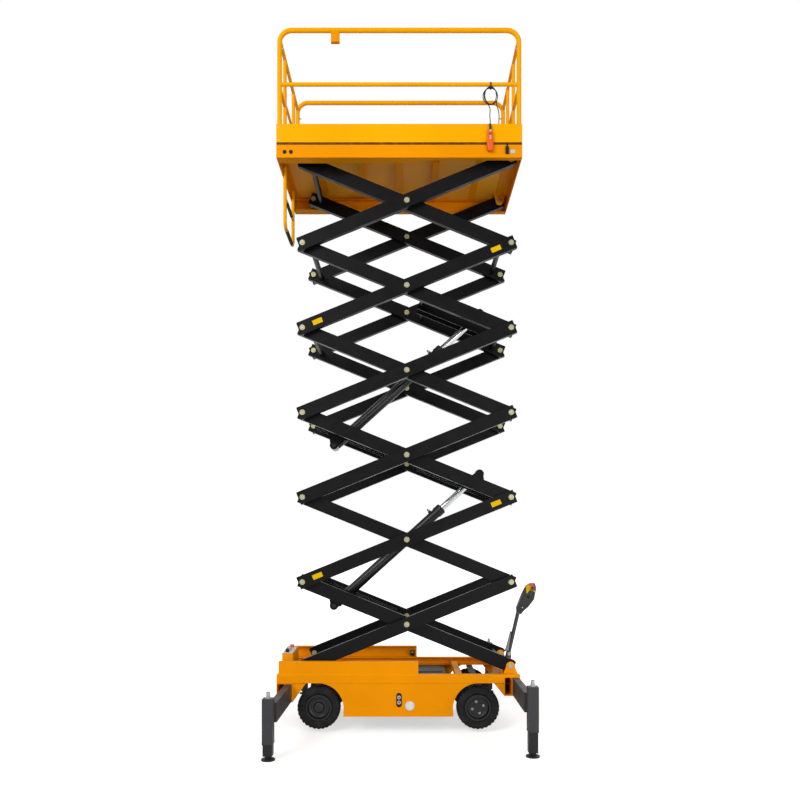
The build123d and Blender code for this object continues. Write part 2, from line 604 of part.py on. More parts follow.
pole_x = yaw_x + POLE_TOP_AHEAD
pole_lean = degrees(atan2(pole_x - tilt_x, POLE_TOP_Z - TILT_Z))
pole_length = hypot(pole_x - tilt_x, POLE_TOP_Z - TILT_Z)
pole = rod_z(0, 0, 0, pole_length, POLE_R)
pole += rod_y(0, 0, -YOKE_EAR_Y + PIN_FIT, YOKE_EAR_Y - PIN_FIT, TILT_EYE_R)
pole -= rod_y(0, 0, -YOKE_EAR_Y - 1, YOKE_EAR_Y + 1, TILT_PIN_R + PIN_FIT)
head_run = HANDLE_TIP - pole_x
head_rise = HEAD_TOP_Z - POLE_TOP_Z
# outline of the head: share of its run, share of its rise
HEAD_OUTLINE = [(-0.12, -0.10), (0.12, -0.13), (0.55, 0.22), (0.88, 0.62), (1.0, 0.86), (0.92, 1.0),
                (0.72, 0.97), (0.34, 0.52), (0.02, 0.12)]
head = plate_y([(pole_x + run * head_run, POLE_TOP_Z + rise * head_rise) for run, rise in HEAD_OUTLINE],
               -HEAD_HALF, HEAD_HALF)
grip_x, grip_z = pole_x + 0.80 * head_run, POLE_TOP_Z + 0.82 * head_rise
head += rod_y(grip_x, grip_z, -GRIP_HALF, GRIP_HALF, GRIP_R)
save("tow_handle", (Pos(tilt_x, 0, TILT_Z) * Rot(0, pole_lean, 0) * pole) + head)


# ---------------------------------------------------------------- platform
def deck_lug(y0, y1):
    """A lug under the deck that holds the last rising bar."""
    lug = plate_y([(FIXED_X - 1.5 * LUG_R, DECK_UNDER), (FIXED_X + 1.5 * LUG_R, DECK_UNDER),
                   (FIXED_X + 0.95 * LUG_R, TOP_Z), (FIXED_X - 0.95 * LUG_R, TOP_Z)], y0, y1)
    lug += rod_y(FIXED_X, TOP_Z, y0, y1, LUG_R)
    return lug - rod_y(FIXED_X, TOP_Z, y0 - 1, y1 + 1, PIN_R + PIN_FIT)


deck_lug_gap = BAR_GAP / 2
top_outside = OUTER_BAR_Y + deck_lug_gap
top_inside = OUTER_BAR_Y - BAR_WIDTH - deck_lug_gap
deck_web = DECK_HALF_WIDTH - STEEL
side = [
    channel(DECK_HALF_WIDTH, DECK_HALF_WIDTH - DECK_FLANGE, DECK_BASE, DECK_Z, DECK_LEFT, DECK_RIGHT),
    channel(track_face, FLANGE_EDGE, DECK_BASE, TOP_Z + TRACK_HALF + STEEL,
            BASE_X + TRACK_LEFT, BASE_X + TRACK_RIGHT),
    deck_lug(-top_outside - LUG, -top_outside),
    deck_lug(-top_inside, -top_inside + LUG),
    block(FIXED_X - 1.5 * LUG_R, FIXED_X + 1.5 * LUG_R, -deck_web - 1, -top_outside - LUG + 1,
          DECK_UNDER - LUG, DECK_UNDER),
]
pieces = both(*side)
for end_x, inward in ((DECK_LEFT, 1), (DECK_RIGHT, -1)):
    pieces.append(block(end_x, end_x + inward * STEEL, -deck_web - 1, deck_web + 1, DECK_BASE, DECK_Z))
    pieces.append(block(end_x, end_x + inward * DECK_FLANGE, -deck_web - 1, deck_web + 1, DECK_Z - STEEL, DECK_Z))
pieces.append(block(FIXED_X - LUG_R, DECK_RIGHT - 1, -top_inside + 1, top_inside - 1,
                    DECK_UNDER - LUG, DECK_UNDER))
for x in BEARER_X:
    x0, x1 = BASE_X + x - BEARER_WIDTH / 2, BASE_X + x + BEARER_WIDTH / 2
    pieces.append(block(x0, x1, -deck_web - 1, deck_web + 1, DECK_UNDER - BEARER_STRIP, DECK_UNDER))
    if abs(x) < DEEP_WITHIN:
        pieces.append(block(x0, x1, -BEARER_SIDE, BEARER_SIDE, DECK_UNDER - BEARER_DEEP, DECK_UNDER))
lead_y = -POST_Y
pieces.append(rod_z(BASE_X + LEAD_X, lead_y, DECK_Z - 1, DECK_Z + LEAD_GLAND, 2.5 * LEAD_R))
save("platform_frame", fuse(pieces))
save("deck_pins", *both(headed_pin(FIXED_X, TOP_Z, top_outside + LUG, top_inside - LUG)))
deck_edge = DECK_HALF_WIDTH - DECK_FLANGE - DECK_FIT
end_edge = DECK_FLANGE + DECK_FIT
save("deck_plate", block(DECK_LEFT + end_edge, DECK_RIGHT - end_edge, -deck_edge, deck_edge,
                         DECK_UNDER, DECK_Z))

# toe boards all round, with a gap at the gate
gate_post_y = GATE_OPENING + SMALL_RAIL_R
toe_in = DECK_HALF_WIDTH - TOE
toe_top = DECK_Z + TOE_BOARD
toe = both(block(DECK_LEFT, DECK_RIGHT, -DECK_HALF_WIDTH, -toe_in, DECK_Z, toe_top),
           block(DECK_LEFT, DECK_LEFT + TOE, -DECK_HALF_WIDTH + 1, -gate_post_y, DECK_Z, toe_top))
toe.append(block(DECK_RIGHT - TOE, DECK_RIGHT, -DECK_HALF_WIDTH + 1, DECK_HALF_WIDTH - 1, DECK_Z, toe_top))
save("toe_boards", fuse(toe))

# guard rails: a hoop on each side, end rails and end posts
left_x, right_x = DECK_LEFT + POST_INSET, DECK_RIGHT - POST_INSET
top_rail, mid_rail = DECK_Z + TOP_RAIL_UP, DECK_Z + MID_RAIL_UP
end_rail, end_mid = DECK_Z + END_RAIL_UP, DECK_Z + END_MID_RAIL_UP
post_top = end_rail - SMALL_RAIL_R / 3
hoop = bent_tube([(left_x, -POST_Y, DECK_Z), (left_x, -POST_Y, top_rail), (right_x, -POST_Y, top_rail),
                  (right_x, -POST_Y, DECK_Z)], RAIL_R, RAIL_BEND)
rails = both(hoop, rod_x(-POST_Y, mid_rail, left_x, right_x, SMALL_RAIL_R))
for x in (left_x, right_x):
    rails.append(rod_y(x, end_rail, -POST_Y, POST_Y, SMALL_RAIL_R - 1))
rails.append(rod_y(right_x, end_mid, -POST_Y, POST_Y, SMALL_RAIL_R - 1))
for y in (-END_POST_Y, END_POST_Y):
    rails.append(rod_z(right_x, y, DECK_Z, post_top, SMALL_RAIL_R))
for side_sign in (-1, 1):
    y = side_sign * gate_post_y
    rails.append(rod_z(left_x, y, DECK_Z, post_top, SMALL_RAIL_R))
    rails.append(rod_y(left_x, end_mid, y, side_sign * POST_Y, SMALL_RAIL_R - 1))
save("guard_rails", fuse(rails))

# gate: its tube turns beside the far gate post
stile_y = GATE_OPENING - PIN_FIT - GATE_TUBE_R
gate = bent_tube([(left_x, -stile_y, DECK_Z + GATE_BOTTOM), (left_x, -stile_y, DECK_Z + GATE_TOP),
                  (left_x, stile_y, DECK_Z + GATE_TOP), (left_x, stile_y, DECK_Z + GATE_BOTTOM)],
                 GATE_TUBE_R, 4 * GATE_TUBE_R)
gate += block(left_x - GATE_SHEET / 2, left_x + GATE_SHEET / 2, -stile_y, stile_y,
              DECK_Z + GATE_BOTTOM + 1, DECK_Z + GATE_SHEET_TOP)
save("gate", gate)

ladder_x = DECK_LEFT + STEEL + LADDER_R + DECK_FIT
ladder_low = TOP_Z - LADDER_DROP
stile_top = DECK_BASE + LADDER_HOLD
ladder = bent_tube([(ladder_x, -LADDER_HALF, stile_top), (ladder_x, -LADDER_HALF, ladder_low),
                    (ladder_x, LADDER_HALF, ladder_low), (ladder_x, LADDER_HALF, stile_top)],
                   LADDER_R, 4 * LADDER_R)
ladder += rod_y(ladder_x, TOP_Z - LADDER_RUNG, -LADDER_HALF, LADDER_HALF, LADDER_R - 2)
save("ladder", ladder)


# ---------------------------------------------------------------- hand control and its lead
def lead_tube(points):
    """A lead along a hand-placed route, each arc as large as its two runs allow."""
    corners = [Vector(*point) for point in points]
    radii = []
    for before, corner, after in zip(corners, corners[1:], corners[2:]):
        run_in, run_out = corner - before, after - corner
        half_turn = radians(run_in.get_angle(run_out)) / 2
        radii.append(0.45 * min(run_in.length, run_out.length) / tan(half_turn))
    print("lead radii", [round(radius) for radius in radii])
    return bent_tube(points, LEAD_R, radii)


pendant_x = BASE_X + PENDANT_X
pendant_near = -DECK_HALF_WIDTH - PIN_FIT - PENDANT_DEPTH
pendant = block(pendant_x - PENDANT_WIDTH / 2, pendant_x + PENDANT_WIDTH / 2, pendant_near,
                -DECK_HALF_WIDTH - PIN_FIT, DECK_Z + PENDANT_LOW, DECK_Z + PENDANT_HIGH)
pendant = fillet(pendant.edges().filter_by(Axis.Z), PENDANT_DEPTH / 4)
pendant_mid_y = pendant_near + PENDANT_DEPTH / 2
pendant += rod_z(pendant_x, pendant_mid_y, DECK_Z + PENDANT_HIGH - 1, DECK_Z + PENDANT_HIGH + LEAD_GLAND,
                 2.5 * LEAD_R)
save("pendant", pendant)

lead_x, coil_x = BASE_X + LEAD_X, BASE_X + COIL_X
coil_z = mid_rail - SMALL_RAIL_R - PIN_FIT - COIL_HALF_HEIGHT
up_lead = lead_tube([
    (lead_x, lead_y, DECK_Z + LEAD_GLAND + PIN_FIT), (lead_x + 2, lead_y - 1, DECK_Z + 100),
    (lead_x - 4, lead_y + 2, DECK_Z + 190), (lead_x + 1, lead_y, DECK_Z + 280),
    (lead_x - 22, lead_y, DECK_Z + 350), (coil_x + 52, lead_y, coil_z - 58)])
down_lead = lead_tube([
    (coil_x - 2, lead_y, coil_z - COIL_HALF_HEIGHT - 4 * PIN_FIT), (coil_x - 5, lead_y - 9, DECK_Z + 300),
    (coil_x - 12, pendant_mid_y + 10, DECK_Z + 236), (pendant_x, pendant_mid_y, DECK_Z + 195),
    (pendant_x + 0.5, pendant_mid_y, DECK_Z + PENDANT_HIGH + LEAD_GLAND + PIN_FIT)])
save("pendant_lead", up_lead, down_lead)
coil_plane = Plane(origin=(coil_x, lead_y - COIL_HALF_DEPTH, coil_z), x_dir=(1, 0, 0), z_dir=(0, -1, 0))
coil_ring = coil_plane * (Ellipse(COIL_HALF_WIDTH, COIL_HALF_HEIGHT)
                          - Ellipse(COIL_HALF_WIDTH - COIL_BAND, COIL_HALF_HEIGHT - COIL_BAND))
save("pendant_lead_coil", extrude(coil_ring, amount=2 * COIL_HALF_DEPTH, dir=(0, 1, 0)))
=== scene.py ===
from math import atan2, cos, pi, radians, sin

import bmesh
import bpy
from mathutils import Matrix, Vector


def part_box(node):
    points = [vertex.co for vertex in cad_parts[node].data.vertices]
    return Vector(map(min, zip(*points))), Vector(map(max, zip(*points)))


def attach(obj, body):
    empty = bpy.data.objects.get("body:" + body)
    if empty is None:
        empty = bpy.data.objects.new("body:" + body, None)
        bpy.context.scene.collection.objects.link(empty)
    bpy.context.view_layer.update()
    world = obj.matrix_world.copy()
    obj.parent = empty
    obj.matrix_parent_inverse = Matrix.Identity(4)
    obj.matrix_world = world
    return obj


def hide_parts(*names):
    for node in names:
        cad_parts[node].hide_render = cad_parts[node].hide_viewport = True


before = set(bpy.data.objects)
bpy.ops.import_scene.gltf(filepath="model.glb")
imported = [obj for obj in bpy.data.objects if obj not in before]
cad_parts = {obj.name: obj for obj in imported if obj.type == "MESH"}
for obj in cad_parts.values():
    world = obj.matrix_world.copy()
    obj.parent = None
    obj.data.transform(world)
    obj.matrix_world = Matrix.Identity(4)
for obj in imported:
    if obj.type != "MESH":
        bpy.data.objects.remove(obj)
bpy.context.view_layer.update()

# ---------------------------------------------------------------- places, in metres, in the CAD's frame
BASE_X = -0.09125                    # middle of the base
BASE_FACE = 0.530                    # outer face of the sills, from the middle
FIXED_X, SLIDE_X = 0.93475, -0.96463
CENTRE_X = (FIXED_X + SLIDE_X) / 2
PIVOT_Z, RISE = 0.590, 0.77127
ANGLE = radians(22.1)
STAGES = 6
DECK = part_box("deck_plate")[1][2]
MID_RAIL = 0.538                     # rails above the deck
RAIL_Y = 0.549                       # middle of the near and far rails
POST_INSET = 0.026                   # corner posts, from the platform's ends
SIDES = ((-1, "near"), (1, "far"))
XZ = ((1, 0, 0), (0, 0, 1))          # an upright plane along the base, for slabs


# ---------------------------------------------------------------- materials
def material(name, rough, metallic=0.0, **sockets):
    """A Principled material. Returns it with its nodes, links and shader."""
    mat = bpy.data.materials.new(name)
    mat.use_nodes = True
    nodes, links = mat.node_tree.nodes, mat.node_tree.links
    shader = nodes["Principled BSDF"]
    shader.inputs["Roughness"].default_value = rough
    shader.inputs["Metallic"].default_value = metallic
    for socket, value in sockets.items():
        shader.inputs[socket.replace("_", " ")].default_value = value
    return mat, nodes, links, shader


def noise(nodes, links, scale, detail=3.0, stretch=(1, 1, 1)):
    """A noise factor in the object's own coordinates. scale is per metre."""
    coordinates = nodes.new("ShaderNodeTexCoord")
    mapping = nodes.new("ShaderNodeMapping")
    mapping.inputs["Scale"].default_value = stretch
    texture = nodes.new("ShaderNodeTexNoise")
    texture.inputs["Scale"].default_value = scale
    texture.inputs["Detail"].default_value = detail
    links.new(coordinates.outputs["Object"], mapping.inputs["Vector"])
    links.new(mapping.outputs["Vector"], texture.inputs["Vector"])
    return texture.outputs[0]


def remap(nodes, links, factor, low, high, start=0.35, end=0.65):
    node = nodes.new("ShaderNodeMapRange")
    node.inputs["From Min"].default_value = start
    node.inputs["From Max"].default_value = end
    node.inputs["To Min"].default_value = low
    node.inputs["To Max"].default_value = high
    links.new(factor, node.inputs["Value"])
    return node.outputs["Result"]


def two_colours(nodes, links, factor, first, second):
    mix = nodes.new("ShaderNodeMix")
    mix.data_type = "RGBA"
    links.new(factor, mix.inputs["Factor"])
    mix.inputs["A"].default_value = (*first, 1)
    mix.inputs["B"].default_value = (*second, 1)
    return mix.outputs["Result"]


def bump(nodes, links, shader, height, strength, distance):
    node = nodes.new("ShaderNodeBump")
    node.inputs["Strength"].default_value = strength
    node.inputs["Distance"].default_value = distance
    links.new(height, node.inputs["Height"])
    links.new(node.outputs["Normal"], shader.inputs["Normal"])


def paint(name, colour, rough=0.38, worn=None, **sockets):
    """Sprayed paint: faint orange peel, uneven sheen, and dust or rubbed spots where worn names a colour."""
    mat, nodes, links, shader = material(name, rough, **sockets)
    tone = two_colours(nodes, links, remap(nodes, links, noise(nodes, links, 2.2), 0, 1),
                       colour, [0.93 * c for c in colour])
    if worn:
        spots = remap(nodes, links, noise(nodes, links, 38, 9), 0, 1, 0.64, 0.7)
        mix = nodes.new("ShaderNodeMix")
        mix.data_type = "RGBA"
        links.new(spots, mix.inputs["Factor"])
        links.new(tone, mix.inputs["A"])
        mix.inputs["B"].default_value = (*worn, 1)
        tone = mix.outputs["Result"]
    links.new(tone, shader.inputs["Base Color"])
    sheen = remap(nodes, links, noise(nodes, links, 9, 5), rough - 0.07, rough + 0.09)
    links.new(sheen, shader.inputs["Roughness"])
    bump(nodes, links, shader, noise(nodes, links, 420, 1), 0.12, 0.0004)
    return mat


def metal(name, first, second, rough, stretch=(1, 1, 1), scale=60, grain=0.1, metallic=1.0):
    """Bare or plated metal whose tone drifts between two colours."""
    mat, nodes, links, shader = material(name, rough, metallic)
    links.new(two_colours(nodes, links, remap(nodes, links, noise(nodes, links, 30, 4), 0, 1), first, second),
              shader.inputs["Base Color"])
    fine = noise(nodes, links, scale, 4, stretch)
    links.new(remap(nodes, links, fine, max(0.03, rough - 0.08), rough + 0.08), shader.inputs["Roughness"])
    bump(nodes, links, shader, fine, grain, 0.0003)
    return mat


def rubber(name, colour, rough):
    """Matt rubber or plastic with pale dust in patches."""
    mat, nodes, links, shader = material(name, rough, Specular_IOR_Level=0.15)
    dust = [2.2 * c + 0.006 for c in colour]
    patches = remap(nodes, links, noise(nodes, links, 14, 8), 0, 1, 0.45, 0.75)
    links.new(two_colours(nodes, links, patches, colour, dust), shader.inputs["Base Color"])
    bump(nodes, links, shader, noise(nodes, links, 600, 4), 0.25, 0.0004)
    return mat


def tread_plate(name, colour):
    """Painted five-bar tread plate, with the bars worn a little brighter."""
    mat, nodes, links, shader = material(name, 0.5, Specular_IOR_Level=0.2)
    coordinates = nodes.new("ShaderNodeTexCoord")
    cells = nodes.new("ShaderNodeTexChecker")
    cells.inputs["Scale"].default_value = 26
    links.new(coordinates.outputs["Object"], cells.inputs["Vector"])
    bars = []
    for direction in ("X", "Y"):
        wave = nodes.new("ShaderNodeTexWave")
        wave.bands_direction = direction
        wave.inputs["Scale"].default_value = 41
        links.new(coordinates.outputs["Object"], wave.inputs["Vector"])
        bars.append(wave.outputs["Fac"])
    pick = nodes.new("ShaderNodeMix")
    links.new(cells.outputs["Fac"], pick.inputs["Factor"])
    links.new(bars[0], pick.inputs["A"])
    links.new(bars[1], pick.inputs["B"])
    raised = remap(nodes, links, pick.outputs["Result"], 0, 1, 0.72, 0.86)
    links.new(two_colours(nodes, links, raised, colour, [min(1, 1.18 * c + 0.02) for c in colour]),
              shader.inputs["Base Color"])
    bump(nodes, links, shader, raised, 0.6, 0.0012)
    return mat


AMBER = paint("amber_paint", (1.0, 0.43, 0.0), 0.45, Specular_IOR_Level=0.04)
FASCIA = paint("fascia_paint", (0.9, 0.31, 0.0), 0.45, Specular_IOR_Level=0.04)
ORANGE = paint("orange_paint", (0.92, 0.31, 0.0), 0.45, Specular_IOR_Level=0.06)
# dark brown used only for thin strips that paint the shade lines at joints; it is not a real seal
SHADE_BROWN = rubber("painted_shade_brown", (0.1, 0.03, 0.002), 0.6)
DECK_TREAD = tread_plate("deck_tread", (0.9, 0.36, 0.01))
ARM = paint("arm_paint", (0.0036, 0.0036, 0.004), 0.36, worn=(0.007, 0.007, 0.0075), Specular_IOR_Level=0.1)
OUTRIGGER = paint("outrigger_paint", (0.05, 0.05, 0.053), 0.45, worn=(0.062, 0.062, 0.066),
                  Specular_IOR_Level=0.12)
JACK = paint("jack_paint", (0.026, 0.026, 0.026), 0.45, Specular_IOR_Level=0.1)
AXLE = paint("axle_paint", (0.01, 0.01, 0.0105), 0.5, worn=(0.03, 0.028, 0.025), Specular_IOR_Level=0.2)
ZINC = metal("yellow_zinc", (0.42, 0.4, 0.2), (0.34, 0.3, 0.14), 0.4, scale=90, metallic=0.45)
BRIGHT = metal("bright_steel", (0.42, 0.42, 0.42), (0.34, 0.34, 0.35), 0.38, scale=120, metallic=0.4)
CHROME = metal("chrome", (0.5, 0.51, 0.52), (0.42, 0.43, 0.45), 0.12, (1, 1, 0.1), 200, 0.03)
CYLINDER = paint("cylinder_paint", (0.005, 0.005, 0.0055), 0.28, Specular_IOR_Level=0.3)
RIM = paint("rim_paint", (0.01, 0.01, 0.0105), 0.36, worn=(0.025, 0.024, 0.022), Specular_IOR_Level=0.3)
TYRE = rubber("tyre_rubber", (0.0095, 0.0095, 0.01), 0.7)
SOFT_BLACK = rubber("black_rubber", (0.012, 0.012, 0.012), 0.6)
COVER = rubber("cover_plastic", (0.02, 0.02, 0.021), 0.5)
PANEL = paint("panel_grey", (0.55, 0.56, 0.57), 0.4)
PLATE_GREY = metal("plate_grey", (0.62, 0.63, 0.66), (0.52, 0.53, 0.56), 0.42, scale=150, metallic=0.5)
RED = paint("signal_red", (0.68, 0.02, 0.012), 0.3, Coat_Weight=0.3)
YELLOW = paint("label_yellow", (0.8, 0.48, 0.0), 0.4, Specular_IOR_Level=0.05)
PENDANT = paint("pendant_shell", (0.86, 0.12, 0.012), 0.35, Specular_IOR_Level=0.3)
HANDLE = paint("handle_black", (0.016, 0.016, 0.017), 0.42)
HEAD = paint("head_grey", (0.008, 0.008, 0.009), 0.42, Specular_IOR_Level=0.3)
POLE_GREY = paint("pole_grey", (0.2, 0.22, 0.23), 0.45)


# ---------------------------------------------------------------- mesh helpers
class Piece:
    """One mesh object put together from several forms."""

    def __init__(self):
        self.bm = bmesh.new()

    def box(self, low, high, bevel=0.002, mat=0, turn=None, segments=2):
        """A bevelled box between two corners, turned about its middle by turn."""
        low, high = Vector(low), Vector(high)
        size = high - low
        place = Matrix.Translation((low + high) / 2) @ (turn or Matrix()) @ Matrix.Diagonal((*size, 1))
        verts = bmesh.ops.create_cube(self.bm, size=1, matrix=place)["verts"]
        for face in {f for v in verts for f in v.link_faces}:
            face.material_index = mat
        if bevel:
            edges = list({e for v in verts for e in v.link_edges})
            bmesh.ops.bevel(self.bm, geom=edges, offset=bevel, segments=segments, affect="EDGES", profile=0.5)

    def lathe(self, profile, centre, axis, seg=32, mat=0):
        """(radius, height) pairs turned about an axis. It closes where a radius is 0."""
        centre, up = Vector(centre), Vector(axis).normalized()
        across = up.orthogonal().normalized()
        side = up.cross(across)
        rings = []
        for radius, height in profile:
            spot = centre + up * height
            if radius < 1e-6:
                rings.append([self.bm.verts.new(spot)])
            else:
                rings.append([self.bm.verts.new(spot + radius * (across * cos(2 * pi * k / seg)
                                                                 + side * sin(2 * pi * k / seg)))
                              for k in range(seg)])
        for a, b in zip(rings, rings[1:]):
            for k in range(seg):
                corners = [a[k % len(a)], a[(k + 1) % len(a)], b[(k + 1) % len(b)], b[k % len(b)]]
                self.bm.faces.new(list(dict.fromkeys(corners))).material_index = mat

    def disc(self, centre, axis, radius, height, chamfer=0.001, seg=24, mat=0):
        """A round (or, with seg=6, hexagonal) head with a chamfered top, standing on centre."""
        profile = [(0, 0), (radius, 0), (radius, height - chamfer), (radius - chamfer, height), (0, height)]
        self.lathe(profile, centre, axis, seg, mat)

    def ring(self, centre, axis, radius, thick, seg=32, mat=0, sides=8):
        """A round bead, such as a weld."""
        angles = [2 * pi * k / sides for k in range(sides)]
        profile = [(radius + thick * cos(a), thick * sin(a)) for a in angles]
        self.lathe([*profile, profile[0]], centre, axis, seg, mat)

    def slab(self, outline, origin, across, up, thick, bevel=0.001, mat=0):
        """A flat outline in a plane, given a thickness to the side that across x up points to."""
        origin, across, up = Vector(origin), Vector(across).normalized(), Vector(up).normalized()
        out = across.cross(up) * thick
        low = [self.bm.verts.new(origin + across * u + up * v) for u, v in outline]
        high = [self.bm.verts.new(v.co + out) for v in low]
        faces = [self.bm.faces.new(low[::-1]), self.bm.faces.new(high)]
        for k in range(len(low)):
            n = (k + 1) % len(low)
            faces.append(self.bm.faces.new([low[k], low[n], high[n], high[k]]))
        for face in faces:
            face.material_index = mat
        if bevel:
            edges = list({e for f in faces[:2] for e in f.edges})
            bmesh.ops.bevel(self.bm, geom=edges, offset=bevel, segments=1, affect="EDGES")

    def done(self, name, body, *mats, slot=None, replaces=()):
        """Turns the forms into one object that rides on a body, with mats in the order of the mat numbers."""
        bmesh.ops.remove_doubles(self.bm, verts=self.bm.verts, dist=1e-6)
        bmesh.ops.recalc_face_normals(self.bm, faces=self.bm.faces)
        mesh = bpy.data.meshes.new(name)
        self.bm.to_mesh(mesh)
        self.bm.free()
        for mat in mats:
            mesh.materials.append(mat)
        mesh.shade_smooth()
        mesh.set_sharp_from_angle(angle=radians(32))
        obj = bpy.data.objects.new(name, mesh)
        bpy.context.collection.objects.link(obj)
        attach(obj, body)
        if replaces:
            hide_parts(*replaces)


def rounded(width, height, radius, steps=5):
    """Outline of a rounded rectangle about the origin."""
    points = []
    for quarter, (sx, sy) in enumerate(((1, 1), (-1, 1), (-1, -1), (1, -1))):
        for k in range(steps + 1):
            a = pi / 2 * (quarter + k / steps)
            u = sx * (width / 2 - radius) + radius * cos(a)
            v = sy * (height / 2 - radius) + radius * sin(a)
            points.append((u, v))
    return points


def bent(name, body, points, radius, mat):
    """A rigid round bar, smooth along given points."""
    curve = bpy.data.curves.new(name, "CURVE")
    curve.dimensions = "3D"
    spline = curve.splines.new("NURBS")
    spline.points.add(len(points) - 1)
    for point, co in zip(spline.points, points):
        point.co = (*co, 1)
    spline.order_u = 3
    spline.use_endpoint_u = True
    spline.resolution_u = 10
    curve.bevel_depth = radius
    curve.bevel_resolution = 4
    curve.use_fill_caps = True
    curve.materials.append(mat)
    obj = bpy.data.objects.new(name, curve)
    bpy.context.collection.objects.link(obj)
    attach(obj, body)
    return obj


def finish_nodes(mat, *names):
    """Gives CAD nodes their material. A name may stand for all nodes that start with it."""
    for node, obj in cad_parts.items():
        if any(node == name or node.startswith(name + "_") for name in names):
            for slot in obj.material_slots:
                slot.material = mat


finish_nodes(AMBER, "toe_boards", "guard_rails", "gate", "ladder")
finish_nodes(FASCIA, "platform_frame")
finish_nodes(DECK_TREAD, "deck_plate")
finish_nodes(ORANGE, "base_frame", "side_skirts", "control_console")
finish_nodes(ARM, "inner_arms", "outer_arms")
finish_nodes(ZINC, "pivot_pins", "base_pins", "deck_pins", "deck_rollers")
finish_nodes(OUTRIGGER, "outrigger")
finish_nodes(JACK, "jack")
finish_nodes(AXLE, "rear_axle", "front_axle", "knuckle")
finish_nodes(RIM, "rim")
finish_nodes(CYLINDER, "cylinder_barrel")
finish_nodes(CHROME, "cylinder_rod")
finish_nodes(COVER, "power_unit")
finish_nodes(HANDLE, "tow_yoke", "tow_handle")


# ---------------------------------------------------------------- arms
TUBE_AT, TUBE_WELD_Y = 0.935, 0.3515     # cross tubes, along the bar, and the inner faces that they meet
BAR_END = 1.0615                         # plugs in the bars' mouths, along the bar
FRAME_BAR_Y, OUTER_BAR_Y = 0.377, 0.435  # middles of the inner and outer bars
PLUG = Vector((0.002, 0.019, 0.053))     # half sizes of a plug
PIN_FACE, BASE_PIN_FACE, DECK_PIN_FACE = 0.466, 0.423, 0.482
LABEL_AT, LABEL_FACE = 0.876, -0.46


def stage_centre(stage):
    return Vector((CENTRE_X, 0, PIVOT_Z + (stage - 0.5) * RISE))


def on_arm(stage, turn, along, y):
    """A point on a bar's middle line, by its distance along the bar. turn is 1 for a falling bar."""
    spin = Matrix.Rotation(turn * ANGLE, 4, "Y")
    return stage_centre(stage) + spin @ Vector((along, 0, 0)) + Vector((0, y, 0))


def pin_head(piece, x, z, face):
    """A screwed retainer on a pin's cap. face is the cap's face, signed."""
    out = (0, 1 if face > 0 else -1, 0)
    screw = [(0, 0), (0.0135, 0), (0.0135, 0.0026), (0.0122, 0.0036), (0.0066, 0.0036), (0.0062, 0.001),
             (0, 0.001)]
    piece.ring((x, face, z), out, 0.0215, 0.0014, 28, 0, 6)
    piece.lathe(screw, (x, face, z), out, 24, 1)


for stage in range(1, STAGES + 1):
    pins = Piece()
    low_z, mid_z, high_z = (PIVOT_Z + k * RISE for k in (stage - 1, stage - 0.5, stage))
    for side in (-1, 1):
        pin_head(pins, CENTRE_X, mid_z, side * PIN_FACE)
        if stage < STAGES:
            pin_head(pins, FIXED_X, high_z, side * PIN_FACE)
        if stage > 1:
            pin_head(pins, SLIDE_X, low_z, side * PIN_FACE)
    pins.done(f"pin_heads_{stage}", f"outer_{stage}", ZINC, BRIGHT, slot="zinc")

    # weld beads round the cross tubes, and moulded plugs in the bars' open ends
    welds, plugs = Piece(), Piece()
    along_inner = Matrix.Rotation(ANGLE, 4, "Y")
    along_outer = Matrix.Rotation(-ANGLE, 4, "Y")
    for end in (-1, 1):
        for side in (-1, 1):
            spot = on_arm(stage, 1, end * TUBE_AT, side * TUBE_WELD_Y)
            welds.ring(spot, (0, 1, 0), 0.0268, 0.0034, 28, 0, 6)
            if (stage, end) not in ((1, 1), (STAGES, -1)):
                spot = on_arm(stage, 1, end * BAR_END, side * FRAME_BAR_Y)
                welds.box(spot - PLUG, spot + PLUG, 0.0015, 1, along_inner)
            if (stage, end) not in ((1, -1), (STAGES, 1)):
                spot = on_arm(stage, -1, end * BAR_END, side * OUTER_BAR_Y)
                plugs.box(spot - PLUG, spot + PLUG, 0.0015, 0, along_outer)
    welds.done(f"frame_welds_{stage}", f"inner_{stage}", ARM, SOFT_BLACK, slot="arm_paint")
    plugs.done(f"bar_plugs_{stage}", f"outer_{stage}", SOFT_BLACK, slot="arm_paint")

# blank yellow labels near both ends of two bars, each with a thin dark frame
for stage in (2, 5):
    for end, end_name in ((-1, "low"), (1, "high")):
        label = Piece()
        spot = on_arm(stage, -1, end * LABEL_AT, LABEL_FACE)
        across = Matrix.Rotation(-ANGLE, 3, "Y") @ Vector((1, 0, 0))
        up = Matrix.Rotation(-ANGLE, 3, "Y") @ Vector((0, 0, 1))
        label.slab(rounded(0.098, 0.05, 0.006), spot, across, up, 0.0008, 0.0002, 1)
        label.slab(rounded(0.092, 0.044, 0.004), spot, across, up, 0.0011, 0.0002, 0)
        label.done(f"label_{stage}_{end_name}", f"outer_{stage}", YELLOW, SOFT_BLACK)

# retainers on the pins of the base and the deck
heads = Piece()
for side in (-1, 1):
    pin_head(heads, FIXED_X, PIVOT_Z, side * BASE_PIN_FACE)
heads.done("base_pin_heads", "chassis", ZINC, BRIGHT, slot="zinc")
heads = Piece()
for side in (-1, 1):
    pin_head(heads, FIXED_X, PIVOT_Z + STAGES * RISE, side * DECK_PIN_FACE)
heads.done("deck_pin_heads", "platform", ZINC, BRIGHT, slot="zinc")

